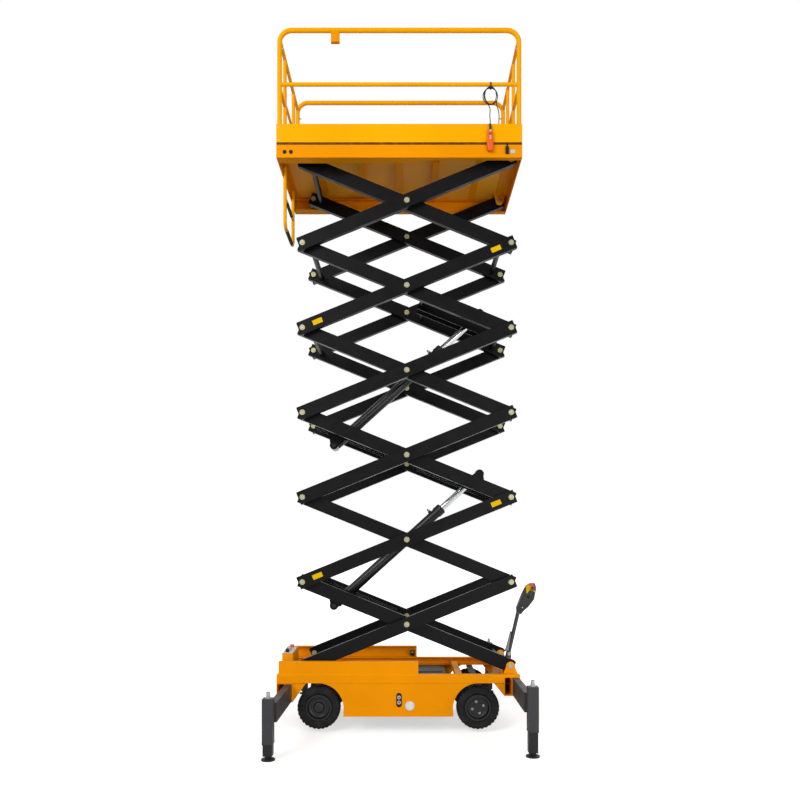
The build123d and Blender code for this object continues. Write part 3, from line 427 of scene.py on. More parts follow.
# ---------------------------------------------------------------- cylinders
FOOT_1, HEAD_1 = Vector((-0.71505, 0, 1.11207)), Vector((0.68517, 0, 2.38175))
PORT = [(0, -0.008), (0.016, -0.008), (0.016, 0.012), (0.014, 0.014), (0, 0.014)]
for number in (1, 2):
    lift = Vector((0, 0, (number - 1) * 2 * RISE))
    foot, head = FOOT_1 + lift, HEAD_1 + lift
    run = (head - foot).normalized()
    over = run.cross(Vector((0, 1, 0))).normalized()
    over = -over if over.z < 0 else over
    fittings = Piece()
    # gland ring with spanner notches, wiper, tail weld, and two port blocks
    fittings.lathe([(0.0525, 1.334), (0.0545, 1.336), (0.0545, 1.352), (0.0525, 1.354)], foot, run, 40)
    fittings.lathe([(0.0525, 1.372), (0.054, 1.374), (0.054, 1.392), (0.0525, 1.394)], foot, run, 40)
    fittings.lathe([(0.0308, 1.4), (0.044, 1.4), (0.042, 1.4055), (0.0308, 1.4065)], foot, run, 32, 1)
    fittings.ring(foot + run * 0.036, run, 0.044, 0.006, 36)
    for at in (0.115, 1.29):
        spot = foot + run * at + over * 0.046
        fittings.lathe(PORT, spot, over, 20)
        fittings.disc(spot + over * 0.014, over, 0.0125, 0.012, 0.002, 6, 2)
        fittings.disc(spot + over * 0.026, over, 0.008, 0.014, 0.002, 16, 1)
    fittings.done(f"cylinder_fittings_{number}", f"barrel_{number}", CYLINDER, SOFT_BLACK, BRIGHT,
                  slot="cylinder_paint")
    rod_end = Piece()
    rod_end.lathe([(0.0302, 1.825), (0.037, 1.827), (0.037, 1.842), (0.034, 1.846), (0.0302, 1.847)],
                  foot, run, 32)
    for side in (-1, 1):
        rod_end.ring(head + Vector((0, side * 0.0452, 0)), (0, 1, 0), 0.029, 0.0022, 32)
    rod_end.done(f"rod_end_{number}", f"rod_{number}", BRIGHT, slot="rod_chrome")


# ---------------------------------------------------------------- wheels
AXLE_AT = 0.720                          # axles, from the middle of the base
TREAD_R, BEAD_R, BLOCKS = 0.195, 0.1183, 30
# rows of tread blocks: both edges across the tyre, and the shift by a share of a block
TREAD_ROWS = ((-0.047, -0.024, 0), (-0.021, -0.0015, 0.5), (0.0015, 0.021, 0), (0.024, 0.047, 0.5))


def tyre(name, x, body, node):
    """Tyre with sidewall ribs and staggered block tread, over the CAD tyre's section."""
    low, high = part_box(node)
    z = (low[2] + high[2]) / 2
    half = (high[1] - low[1]) / 2
    centre = Vector((x, (low[1] + high[1]) / 2, z))
    base = TREAD_R - 0.0075
    wall = [(BEAD_R, 0.036), (BEAD_R + 0.006, 0.045), (BEAD_R + 0.014, 0.0485), (0.1385, 0.0505),
            (0.1405, 0.0518), (0.1435, 0.0518), (0.1455, 0.0505), (0.158, 0.0502), (0.160, 0.0512),
            (0.164, 0.0512), (0.166, 0.0498), (0.176, 0.0465), (0.183, 0.0415), (base, 0.033),
            (base + 0.001, 0.012)]
    wall = [(radius, min(half, height)) for radius, height in wall]
    profile = [*wall, *[(radius, -height) for radius, height in reversed(wall)]]
    piece = Piece()
    piece.lathe([*profile, profile[0]], centre, (0, 1, 0), 96)
    for k in range(BLOCKS):
        for row, (y0, y1, shift) in enumerate(TREAD_ROWS):
            spin = Matrix.Rotation(2 * pi * (k + shift) / BLOCKS, 4, "Y")
            top = TREAD_R - (0.0008 if row in (1, 2) else 0.0042)
            depth = 0.012 if row in (1, 2) else 0.02
            middle = spin @ Vector((0, 0, top - depth / 2))
            lean = Matrix.Rotation(radians(14 if row < 2 else -14), 4, "Z")
            tilt = Matrix.Rotation(radians(-22 if row == 0 else 22 if row == 3 else 0), 4, "X")
            spot = centre + middle + Vector((0, (y0 + y1) / 2, 0))
            size = Vector((0.0115, (y1 - y0) / 2, depth / 2))
            piece.box(spot - size, spot + size, 0.0018, 0, spin @ lean @ tilt, 1)
    piece.done(name, body, TYRE, slot="tyre", replaces=[node])


def wheel_face(name, x, side, body, node, bolts):
    """Rim lip, hub and, on the steered wheels, bright nuts."""
    low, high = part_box(node)
    z = (low[2] + high[2]) / 2
    face = high[1] if side > 0 else low[1]
    out = Vector((0, side, 0))
    at = Vector((x, face, z))
    piece = Piece()
    piece.ring(at - out * 0.003, out, 0.1145, 0.003, 64, 0, 8)
    floor = at - out * 0.03
    piece.lathe([(0.101, -0.001), (0.098, 0.006), (0.09, 0.009), (0.08, 0.007), (0.072, 0.0)], floor, out, 64)
    if bolts:
        piece.lathe([(0.042, 0.012), (0.04, 0.0155), (0.022, 0.0155), (0.02, 0.02), (0, 0.021)],
                    floor, out, 40)
        for k in range(4):
            a = radians(17) + k * pi / 2
            spot = floor + Vector((0.052 * cos(a), 0, 0.052 * sin(a)))
            piece.disc(spot, out, 0.0125, 0.003, 0.0008, 24, 1)
            piece.disc(spot + out * 0.003, out, 0.0095, 0.008, 0.0015, 6, 1)
            piece.disc(spot + out * 0.011, out, 0.005, 0.005, 0.001, 16, 1)
    else:
        piece.lathe([(0.052, 0.0), (0.05, 0.006), (0.046, 0.012), (0.042, 0.018), (0.038, 0.02), (0, 0.022)],
                    floor, out, 48)
    piece.disc(floor + Vector((0.088, 0, 0)), out, 0.0045, 0.02, 0.001, 12, 2)
    piece.done(name, body, RIM, BRIGHT, SOFT_BLACK, slot="rim_paint")


for side, side_name in SIDES:
    for end, end_name in ((-1, "rear"), (1, "front")):
        corner = f"{end_name}_{side_name}"
        x = BASE_X + end * AXLE_AT
        tyre(f"tread_{corner}", x, f"wheel_{corner}", f"tyre_{corner}")
        wheel_face(f"wheel_face_{corner}", x, side, f"wheel_{corner}", f"rim_{corner}", end > 0)

# ---------------------------------------------------------------- outriggers
SCREW_HEIGHT = 0.05                      # jack screw above the leg's top
LEG_LENGTH = 0.36
LEG_HALF, LIP_INNER = 0.0435, 0.0418     # outer and inner face of the trim round the leg
for name in ("rear_near", "rear_far", "front_near", "front_far"):
    body = f"outrigger_{name}"
    low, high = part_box(f"jack_{name}")
    x, y = (low[0] + high[0]) / 2, (low[1] + high[1]) / 2
    leg_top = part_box(body)[1][2] - SCREW_HEIGHT
    leg_low = leg_top - LEG_LENGTH
    # screw with its collar and nut, cap plate, and lower lips at the leg's near and far face
    piece = Piece()
    piece.disc((x, y, leg_top), (0, 0, 1), 0.023, 0.006, 0.0015, 32, 1)
    piece.disc((x, y, leg_top + 0.006), (0, 0, 1), 0.0195, 0.014, 0.002, 6, 1)
    piece.lathe([(0.0142, 0.02), (0.0152, 0.021), (0.0152, 0.0495), (0.0142, 0.0499)],
                (x, y, leg_top), (0, 0, 1), 32, 1)
    piece.box((x - LEG_HALF, y - LEG_HALF, leg_top - 0.007),
              (x + LEG_HALF, y + LEG_HALF, leg_top - 0.001), 0.0015)
    for y0, y1 in ((y - LEG_HALF, y - LIP_INNER), (y + LIP_INNER, y + LEG_HALF)):
        piece.box((x - LEG_HALF, y0, leg_low), (x + LEG_HALF, y1, leg_low + 0.018), 0.0006)
    piece.done(f"leg_fittings_{name}", body, OUTRIGGER, BRIGHT, slot="outrigger_paint")
    # foot joint over the pad, and its rubber tread
    foot = Piece()
    foot.lathe([(0.0162, 0.038), (0.024, 0.036), (0.028, 0.03), (0.028, 0.024), (0.022, 0.018),
                (0.03, 0.0155), (0.046, 0.0135), (0.0535, 0.0118)], (x, y, 0), (0, 0, 1), 40)
    foot.ring((x, y, 0.006), (0, 0, 1), 0.0505, 0.0044, 48, 1, 8)
    foot.done(f"foot_{name}", body, JACK, SOFT_BLACK, slot="jack_paint")

# ---------------------------------------------------------------- base
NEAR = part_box("side_skirts")[0][1]
SWITCH_X = -0.085                        # plate with two round switches
ROUND_X, ROUND_Z = 0.012, 0.251          # round cover plate beside it
plate = Piece()
plate.slab(rounded(0.05, 0.128, 0.0245, 8), (SWITCH_X, NEAR, 0.304), *XZ, 0.003, 0.001)
for k, z in enumerate((0.328, 0.282)):
    plate.lathe([(0.0165, 0), (0.0165, 0.004), (0.0145, 0.0055), (0.0125, 0.003), (0, 0.003)],
                (SWITCH_X, NEAR - 0.003, z), (0, -1, 0), 28, 1)
    plate.disc((SWITCH_X, NEAR - 0.006, z), (0, -1, 0), 0.007, 0.004, 0.001, 16, 0)
plate.done("switch_plate", "chassis", SOFT_BLACK, PANEL)
cap = Piece()
cap.lathe([(0.042, 0), (0.042, 0.002), (0.04, 0.0036), (0.034, 0.0036), (0.033, 0.0028), (0, 0.0028)],
          (ROUND_X, NEAR, ROUND_Z), (0, -1, 0), 48)
for k in range(3):
    a = pi / 2 + 2 * pi * k / 3
    spot = (ROUND_X + 0.0375 * cos(a), NEAR - 0.0036, ROUND_Z + 0.0375 * sin(a))
    cap.disc(spot, (0, -1, 0), 0.0022, 0.0012, 0.0004, 12)
cap.done("round_plate", "chassis", PLATE_GREY)

# screws and folded lower edges of the skirts, tie-down eyes, amber lines along the sill's and the track's
# upper edges as painted highlights, and a dark brown line as painted shade at the seam over the skirt
EYE_AT, EYE_FACE = 1.03, 0.5305
FOLD_HALF, FOLD_Y = 0.492, 0.5215
SILL_ENDS, TRACK_ENDS = (-1.186, 1.004), (-1.169, 0.088)
# each painted highlight or painted shade line on the sill or the track: its ends, its face, its height, half
# its depth and its material
PAINTED_LIGHT_LINES = ((*SILL_ENDS, BASE_FACE, 0.5295, 0.0022, 2), (*TRACK_ENDS, 0.528, 0.6455, 0.0022, 2),
              (*SILL_ENDS, BASE_FACE, 0.4545, 0.001, 3))
trim = Piece()
for side in (-1, 1):
    for end in (-1, 1):
        for z in (0.19, 0.42):
            trim.disc((BASE_X + end * 0.46, side * BASE_FACE, z), (0, side, 0), 0.0055, 0.0026, 0.0008, 6, 1)
    trim.box((BASE_X - FOLD_HALF, side * FOLD_Y - 0.0025, 0.1545),
             (BASE_X + FOLD_HALF, side * FOLD_Y + 0.0025, 0.1625), 0.001)
    for end in (-1, 1):
        trim.ring((BASE_X + end * EYE_AT, side * EYE_FACE, 0.493), (0, 1, 0), 0.017, 0.0035, 32, 0, 8)
    # the amber lines are painted highlights on the upper edges; the dark brown line is painted shade at the
    # seam
    for x0, x1, face, z, deep, mat in PAINTED_LIGHT_LINES:
        trim.box((x0, side * face - 0.0005, z - deep), (x1, side * face + 0.0005, z + deep), 0.0004, mat)
trim.done("skirt_trim", "chassis", ORANGE, ZINC, AMBER, SHADE_BROWN, slot="base_paint")

# power unit: battery caps and covers on top, vents and screws at both ends
POWER_TOP, POWER_HALF = 0.4545, 0.455
power = Piece()
for k in range(4):
    x = BASE_X - 0.34 + 0.225 * k
    power.box((x - 0.1, -0.44, POWER_TOP), (x + 0.1, -0.02, 0.4605), 0.003)
    for j in range(3):
        power.disc((x, -0.36 + 0.13 * j, 0.4605), (0, 0, 1), 0.02, 0.0035, 0.0015, 20, 1)
power.box((BASE_X - 0.42, 0.04, POWER_TOP), (BASE_X + 0.42, 0.44, 0.461), 0.004)
for end in (-1, 1):
    face = BASE_X + end * POWER_HALF
    for k in range(7):
        z = 0.235 + 0.02 * k
        for y in (-0.2, 0.2):
            power.box((face - 0.0015, y - 0.09, z - 0.004),
                      (face + 0.0035 * end + 0.0015, y + 0.09, z + 0.004), 0.001, 1)
    for y in (-0.47, 0, 0.47):
        for z in (0.2, 0.42):
            power.disc((face, y, z), (end, 0, 0), 0.007, 0.004, 0.001, 6, 2)
power.done("power_covers", "chassis", COVER, SOFT_BLACK, BRIGHT, slot="power_cover")

# limit switches inside the tracks, with red levers
LIMIT_Y = 0.497
for side, side_name in SIDES:
    switch = Piece()
    switch.box((0.02, side * LIMIT_Y - 0.019, 0.5485), (0.068, side * LIMIT_Y + 0.019, 0.602), 0.004)
    switch.disc((0.044, side * 0.478, 0.585), (0, -side, 0), 0.011, 0.006, 0.001, 20, 1)
    switch.box((0.012, side * 0.4795 - 0.002, 0.583), (0.044, side * 0.4795 + 0.002, 0.5905), 0.001, 2)
    switch.done(f"limit_switch_{side_name}", "chassis", SOFT_BLACK, BRIGHT, RED)

# ground controls: sloping panel with a key switch, two rockers and a stop button
low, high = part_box("control_console")
slope = atan2(0.025, 0.35)
panel_turn = Matrix.Rotation(slope, 4, "X")
middle = Vector(((low[0] + high[0]) / 2, (low[1] + high[1]) / 2, 0.7025))
normal = panel_turn.to_3x3() @ Vector((0, 0, 1))
along = panel_turn.to_3x3() @ Vector((0, 1, 0))
console = Piece()
sheet = middle + normal * 0.001
console.box(sheet - Vector((0.045, 0.165, 0.0005)), sheet + Vector((0.045, 0.165, 0.0035)),
            0.0012, 0, panel_turn)
top = middle + normal * 0.0045
key, stop = top - along * 0.115, top + along * 0.1
console.lathe([(0.019, 0), (0.019, 0.004), (0.0165, 0.006), (0.0165, 0.026), (0.014, 0.03), (0, 0.031)],
              key + Vector((-0.012, 0, 0)), normal, 24, 1)
console.box(key + Vector((-0.015, -0.013, 0.028)), key + Vector((-0.009, 0.013, 0.042)), 0.002, 1)
for k in (0, 1):
    spot = top - along * (0.045 - 0.055 * k)
    console.box(spot - Vector((0.018, 0.012, 0)), spot + Vector((0.018, 0.012, 0.007)), 0.002, 1, panel_turn)
    console.box(spot - Vector((0.013, 0.008, -0.006)), spot + Vector((0.013, 0.008, 0.011)),
                0.002, 2, panel_turn)
console.lathe([(0.014, 0), (0.014, 0.01), (0.021, 0.013), (0.0215, 0.018), (0.019, 0.024), (0.011, 0.027),
               (0, 0.028)], stop, normal, 32, 2)
console.lathe([(0.025, 0), (0.025, 0.002), (0.023, 0.003), (0.014, 0.003)], stop, normal, 32, 3)
for u in (-0.038, 0.038):
    for v in (-0.155, 0.155):
        console.disc(top + Vector((u, 0, 0)) + along * v, normal, 0.004, 0.0018, 0.0006, 12, 4)
console.done("console_panel", "chassis", PANEL, SOFT_BLACK, RED, YELLOW, BRIGHT, slot="console_paint")

# ---------------------------------------------------------------- tow handle
YAW_X, TILT_X, POLE_TOP_X = BASE_X + 1.050, BASE_X + 1.064, BASE_X + 1.160
POLE_TOP_Z, HEAD_TOP_Z = 1.061, 1.327
HEAD_RUN, HEAD_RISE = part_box("tow_handle")[1][0] - POLE_TOP_X, HEAD_TOP_Z - POLE_TOP_Z
HEAD_HALF = 0.041


def head_point(u, v, y=0.0):
    """A point of the handle's head by its share of the head's run and rise."""
    return Vector((POLE_TOP_X + u * HEAD_RUN, y, POLE_TOP_Z + v * HEAD_RISE))


# the head's forms in side view: shell, yellow band, red cap, and the cover low on the pole
SHELL = [(1.141, 1.300), (1.160, 1.312), (1.196, 1.300), (1.229, 1.252), (1.216, 1.171), (1.159, 1.097),
         (1.090, 1.040), (1.052, 1.050), (1.047, 1.086), (1.075, 1.156), (1.108, 1.236)]
BAND = [(1.133, 1.286), (1.141, 1.301), (1.160, 1.3135), (1.197, 1.301), (1.2305, 1.252), (1.2265, 1.226),
        (1.196, 1.262), (1.166, 1.262), (1.148, 1.222), (1.134, 1.236)]
CAP = [(1.158, 1.3125), (1.1815, 1.3275), (1.2055, 1.3275), (1.2335, 1.279), (1.2335, 1.252), (1.219, 1.25),
       (1.186, 1.296)]
POLE_COVER = [(0.989, 0.857), (0.9565, 0.735), (0.937, 0.668), (0.972, 0.668), (1.0, 0.857)]
GRIP = [(0.0143, 0), (0.0172, 0.002), (0.0168, 0.008), (0.0163, 0.01), (0.017, 0.016), (0.0163, 0.022),
        (0.017, 0.028), (0.0163, 0.034), (0.017, 0.04), (0.0155, 0.0465), (0.0, 0.0485)]
head = Piece()
# outline, half the width, and bevel
HEAD_FORMS = ((SHELL, HEAD_HALF, 0.006), (BAND, 0.0425, 0.003), (CAP, 0.0435, 0.004))
for mat, (outline, half, bevel) in enumerate(HEAD_FORMS):
    head.slab(outline, (0, half, 0), *XZ, 2 * half, bevel, mat)
for side in (-1, 1):
    head.disc(head_point(0.56, 0.5, side * HEAD_HALF), (0, side, 0), 0.016, 0.004, 0.0015, 24, 3)
    head.disc(head_point(0.2, 0.12, side * HEAD_HALF), (0, side, 0), 0.007, 0.003, 0.001, 6, 4)
    head.lathe(GRIP, head_point(0.80, 0.82, side * 0.043), (0, side, 0), 24, 3)
head.slab(POLE_COVER, (0, 0.017, 0), *XZ, 0.034, 0.003, 5)
head.done("tow_head_trim", "tow_handle", HEAD, YELLOW, RED, SOFT_BLACK, BRIGHT, POLE_GREY,
          slot="handle_paint")
yoke = Piece()
tilt = Vector((TILT_X, 0, 0.645))
for side in (-1, 1):
    yoke.disc(tilt + Vector((0, side * 0.042, 0)), (0, side, 0), 0.0135, 0.005, 0.0015, 6, 0)
    yoke.ring(tilt + Vector((0, side * 0.0362, 0)), (0, 1, 0), 0.017, 0.0022, 28, 0, 6)
for k in range(6):
    a = pi / 6 + k * pi / 3
    yoke.disc((YAW_X + 0.036 * cos(a), 0.036 * sin(a), 0.56), (0, 0, 1), 0.005, 0.004, 0.001, 6, 0)
yoke.done("yoke_bolts", "tow_yoke", BRIGHT, slot="handle_paint")

# ---------------------------------------------------------------- platform
low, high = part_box("platform_frame")
LEFT, RIGHT, EDGE = low[0], high[0], 0.575
SHADE_LINE_Y, SHADE_LINE_HALF = EDGE + 0.0003, 0.0009
# dark brown strips painted as the shade line where the toe board meets the fascia, black discs painted as the
# shade inside the pair of drain holes, and corner screws
fascia = Piece()
for side in (-1, 1):
    # painted shade: a dark brown strip along the joint of toe board and fascia
    fascia.box((LEFT + 0.004, side * SHADE_LINE_Y - SHADE_LINE_HALF, DECK - 0.016),
               (RIGHT - 0.004, side * SHADE_LINE_Y + SHADE_LINE_HALF, DECK + 0.006), 0.0004, 0)
    # painted shade: black discs stand for the dark inside of the drain holes
    for x in (-1.107, -1.05):
        fascia.lathe([(0.0185, 0), (0.0185, 0.0015), (0.0165, 0.0022), (0.015, 0.0004), (0, 0.0004)],
                     (x, side * EDGE, DECK - 0.08), (0, side, 0), 28, 1)
    for x in (LEFT + 0.02, RIGHT - 0.02):
        for z in (DECK + 0.028, DECK + 0.14):
            fascia.disc((x, side * (EDGE - 0.001), z), (0, side, 0), 0.006, 0.003, 0.0012, 20, 2)
# painted shade: dark brown strips across both ends, just under the deck's top
for x in (LEFT - 0.0003, RIGHT + 0.0003):
    fascia.box((x - SHADE_LINE_HALF, -EDGE + 0.004, DECK - 0.0135), (x + SHADE_LINE_HALF, EDGE - 0.004, DECK), 0.0004, 0)
fascia.done("fascia_trim", "platform", SHADE_BROWN, SOFT_BLACK, BRIGHT, slot="platform_paint")

# folded top edge of the toe boards
LIP_Y = 0.572
lip_low, lip_high = DECK + 0.1665, DECK + 0.1715
lip = Piece()
for side in (-1, 1):
    lip.box((LEFT + 0.001, side * LIP_Y - 0.0032, lip_low),
            (RIGHT - 0.001, side * LIP_Y + 0.0032, lip_high), 0.0018)
lip.box((RIGHT - 0.0055, -EDGE + 0.006, lip_low), (RIGHT + 0.0008, EDGE - 0.006, lip_high), 0.0018)
for side in (-1, 1):
    a, b = sorted((side * 0.263, side * 0.569))
    lip.box((LEFT - 0.0008, a, lip_low), (LEFT + 0.0055, b, lip_high), 0.0018)
lip.done("toe_board_lip", "platform", AMBER, slot="platform_paint")

# rail fittings: weld beads, and spring pins through the hoops
TUBE_FACE, PIN_UP = 0.0205, 0.857        # face of the corner posts, and the spring pins above the deck
rails = Piece()
for x in (LEFT + POST_INSET, RIGHT - POST_INSET):
    for side in (-1, 1):
        y = side * RAIL_Y
        rails.ring((x, y, DECK + 0.003), (0, 0, 1), 0.0208, 0.003, 32, 0, 6)
        inward = 1 if x < 0 else -1
        face = x + inward * TUBE_FACE
        rails.disc((face, y, DECK + PIN_UP), (inward, 0, 0), 0.0095, 0.006, 0.0015, 20, 1)
        rails.disc((face + inward * 0.006, y, DECK + PIN_UP), (inward, 0, 0), 0.005, 0.014, 0.001, 12, 1)
        rails.ring((face, y, DECK + MID_RAIL), (1, 0, 0), 0.0172, 0.0026, 28, 0, 6)
        rails.ring((x, y - side * TUBE_FACE, DECK + 0.95), (0, 1, 0), 0.0162, 0.0026, 28, 0, 6)
    for y in (-0.2, 0.2) if x > 0 else (-0.262, 0.262):
        rails.ring((x, y, DECK + 0.003), (0, 0, 1), 0.0168, 0.0028, 28, 0, 6)
        rails.ring((x, y, DECK + 0.933), (0, 0, 1), 0.0168, 0.0028, 28, 0, 6)
rails.done("rail_fittings", "platform", AMBER, BRIGHT, slot="platform_paint")

# small sheet holder under the near top rail: two faces, two ends and a floor
HOLDER_X, TOP_RAIL, UNDER_RAIL = -0.656, 1.023, 0.0208
HALF_LONG, HALF_DEEP, WALL_HALF = 0.038, 0.016, 0.0012
hy, hz = -RAIL_Y, DECK + TOP_RAIL - UNDER_RAIL
holder = Piece()
for side in (-1, 1):
    y = hy + side * HALF_DEEP
    holder.box((HOLDER_X - HALF_LONG, y - WALL_HALF, hz - 0.09),
               (HOLDER_X + HALF_LONG, y + WALL_HALF, hz + 0.006), 0.0008)
for end in (-1, 1):
    x = HOLDER_X + end * 0.037
    holder.box((x - WALL_HALF, hy - HALF_DEEP, hz - 0.09),
               (x + WALL_HALF, hy + HALF_DEEP, hz - 0.004), 0.0008)
holder.box((HOLDER_X - HALF_LONG, hy - 0.0172, hz - 0.0915),
           (HOLDER_X + HALF_LONG, hy + 0.0172, hz - 0.0895), 0.0008)
holder.done("rail_holder", "platform", FASCIA, slot="platform_paint")

# socket with its flap on the near fascia, beside the hand control
socket = Piece()
socket.box((0.866, -EDGE - 0.017, DECK - 0.1), (0.896, -EDGE, DECK - 0.035), 0.004)
socket.box((0.875, -EDGE - 0.013, DECK - 0.04), (0.887, -EDGE, DECK + 0.002), 0.003)
socket.lathe([(0.013, 0), (0.013, 0.004), (0.011, 0.0055), (0, 0.0055)], (0.881, -EDGE - 0.017, DECK - 0.07),
             (0, -1, 0), 24)
socket.box((0.908, -EDGE - 0.0016, DECK - 0.093), (0.955, -EDGE + 0.0004, DECK - 0.058), 0.0006, 1)
socket.done("near_socket", "platform", SOFT_BLACK, PANEL)

# gate: hinge barrels and straps on the far stile, latch on the near one, rivets along its panel
stile_y, left_x = 0.2317, LEFT + POST_INSET
gate = Piece()
for z in (DECK + 0.1, DECK + 0.36):
    gate.lathe([(0.0135, 0), (0.0158, 0.0015), (0.0158, 0.0385), (0.0135, 0.04)],
               (left_x, stile_y, z), (0, 0, 1), 28)
    gate.box((left_x - 0.0035, stile_y - 0.06, z + 0.008),
             (left_x + 0.0035, stile_y - 0.012, z + 0.032), 0.001)
gate.box((left_x + 0.004, -stile_y - 0.008, DECK + 0.3),
         (left_x + 0.02, -stile_y + 0.05, DECK + 0.335), 0.003, 1)
gate.disc((left_x + 0.02, -stile_y + 0.03, DECK + 0.3175), (1, 0, 0), 0.011, 0.012, 0.002, 24, 1)
for z in (DECK + 0.06, DECK + 0.39):
    for k in range(4):
        gate.disc((left_x + 0.0015, -0.165 + 0.11 * k, z), (1, 0, 0), 0.005, 0.003, 0.001, 16, 2)
gate.done("gate_fittings", "gate", AMBER, SOFT_BLACK, BRIGHT, slot="platform_paint")

# ladder: ribbed grips on its rungs
rungs = Piece()
low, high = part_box("ladder")
lx = (low[0] + high[0]) / 2
RIBS, RIB_PITCH = 24, 0.013
for z, radius in ((low[2] + 0.016, 0.0162), (PIVOT_Z + STAGES * RISE - 0.264, 0.0142)):
    root, crest = radius - 0.0004, radius + 0.0016
    profile = [(root, 0)]
    for k in range(RIBS):
        at = RIB_PITCH * k
        profile += [(crest, 0.002 + at), (crest, 0.009 + at), (root, 0.011 + at)]
    rungs.lathe(profile, (lx, -0.157, z), (0, 1, 0), 24)
rungs.done("rung_grips", "platform", SOFT_BLACK, slot="platform_paint")

# ---------------------------------------------------------------- hand control and its lead
RING = 28                                # points round the shell


def squarish(share):
    """Bends a sine or cosine, so that a ring of points comes nearer to a rounded rectangle."""
    return abs(share) ** 0.55 * (1 if share > 0 else -1)


low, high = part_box("pendant")
px, py = (low[0] + high[0]) / 2, -0.5953
pz0, pz1 = DECK - 0.085, DECK + 0.150
shell = Piece()
outline = [(0.016, 0.0), (0.023, 0.005), (0.0255, 0.03), (0.0265, 0.052), (0.031, 0.064), (0.031, 0.088),
           (0.027, 0.1), (0.0225, 0.112), (0.021, 0.16), (0.0195, 0.182), (0.014, 0.19)]
rows = []
for half, z in outline:
    deep = min(0.0195, 0.75 * half + 0.001)
    ring = []
    for k in range(RING):
        a = 2 * pi * k / RING
        ring.append(shell.bm.verts.new((px + half * squarish(cos(a)), py + deep * squarish(sin(a)), pz0 + z)))
    rows.append(ring)
for a, b in zip(rows, rows[1:]):
    for k in range(RING):
        n = (k + 1) % RING
        shell.bm.faces.new([a[k], a[n], b[n], b[k]])
shell.bm.faces.new(rows[0][::-1])
shell.bm.faces.new(rows[-1])
face = py - 0.0155
# strain relief of the lead, then from the top: a button, the red stop, and two more buttons
shell.lathe([(0, -0.05), (0.0115, -0.048), (0.0115, -0.038), (0.0095, -0.034), (0.0085, 0.004),
             (0.0072, 0.0055), (0.0062, 0.0145)], (px, py, pz1 - 0.001), (0, 0, 1), 20, 1)
shell.lathe([(0.0098, -0.002), (0.0098, 0.005), (0.0085, 0.0065), (0, 0.0068)],
            (px, face, pz1 - 0.062), (0, -1, 0), 24, 2)
shell.lathe([(0.011, -0.002), (0.011, 0.006), (0.0125, 0.008), (0.0115, 0.0115), (0, 0.0125)],
            (px, face, pz1 - 0.086), (0, -1, 0), 28, 3)
for z in (0.108, 0.129):
    shell.lathe([(0.0085, -0.002), (0.0085, 0.004), (0.0072, 0.0055), (0, 0.0055)],
                (px, face, pz1 - z), (0, -1, 0), 24, 2)
shell.box((px - 0.011, face - 0.0012, pz0 + 0.014), (px + 0.011, face + 0.002, pz0 + 0.04), 0.001, 1)
shell.done("hand_control", "platform", PENDANT, SOFT_BLACK, PANEL, RED, slot="pendant_shell",
           replaces=["pendant"])
clip = Piece()
clip.box((px - 0.009, -0.5758, DECK + 0.02), (px + 0.009, -0.5747, DECK + 0.171), 0.0004)
clip.box((px - 0.009, -0.5758, DECK + 0.1695), (px + 0.009, -0.568, DECK + 0.1735), 0.0008)
clip.done("pendant_clip", "platform", BRIGHT)

# the lead's route, as in the solids: up from the deck, round the coil at the middle rail, and down
LEAD_X, LEAD_Y, LEAD_R = BASE_X + 0.905, -RAIL_Y, 0.004
COIL_X, COIL_Z = BASE_X + 0.828, DECK + 0.4357
COIL_START, COIL_END, PER_TURN = radians(-25), radians(932), 14
exit_point = (LEAD_X, LEAD_Y, DECK + 0.0143)
route = [exit_point, (LEAD_X + 0.002, LEAD_Y - 0.001, DECK + 0.1),
         (LEAD_X - 0.004, LEAD_Y + 0.002, DECK + 0.19), (LEAD_X + 0.001, LEAD_Y, DECK + 0.28),
         (LEAD_X - 0.022, LEAD_Y + 0.002, DECK + 0.35),
         (COIL_X + 0.053, LEAD_Y + 0.007, COIL_Z - 0.058)]
steps = round((COIL_END - COIL_START) / (2 * pi) * PER_TURN)
for k in range(steps + 1):
    a = COIL_START + (COIL_END - COIL_START) * k / steps
    turn = (a - COIL_START) / (2 * pi)
    wide = 0.0605 + 0.009 * sin(0.37 * a + 0.5)
    tall = 0.0775 + 0.0015 * sin(2.3 * a + 1)
    route.append((COIL_X + wide * cos(a), LEAD_Y + 0.0118 - 0.0089 * turn, COIL_Z + tall * sin(a)))
route += [(COIL_X - 0.036, LEAD_Y - 0.0125, COIL_Z - 0.064), (COIL_X - 0.02, LEAD_Y - 0.013, COIL_Z - 0.09),
          (COIL_X - 0.008, LEAD_Y - 0.011, COIL_Z - 0.113), (COIL_X - 0.005, LEAD_Y - 0.009, DECK + 0.300),
          (COIL_X - 0.012, py + 0.010, DECK + 0.236), (px, py, DECK + 0.195),
          (px + 0.0005, py, DECK + 0.1643)]
lead = bent("pendant_cord", "platform", route, LEAD_R, SOFT_BLACK)
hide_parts("pendant_lead", "pendant_lead_coil")

# strap that holds the coil to the middle rail
strap = Piece()
outer_ring, inner_ring = rounded(0.041, 0.062, 0.018, 6), rounded(0.037, 0.058, 0.016, 6)
middle_z = DECK + MID_RAIL + 0.0187 - 0.0305
rows = []
for outline, x in ((inner_ring, -0.006), (outer_ring, -0.006), (outer_ring, 0.006), (inner_ring, 0.006)):
    rows.append([strap.bm.verts.new((COIL_X + x, LEAD_Y + u, middle_z + v)) for u, v in outline])
for a, b in zip(rows, [*rows[1:], rows[0]]):
    for k in range(len(a)):
        n = (k + 1) % len(a)
        strap.bm.faces.new([a[k], a[n], b[n], b[k]])
strap.done("coil_strap", "platform", SOFT_BLACK)


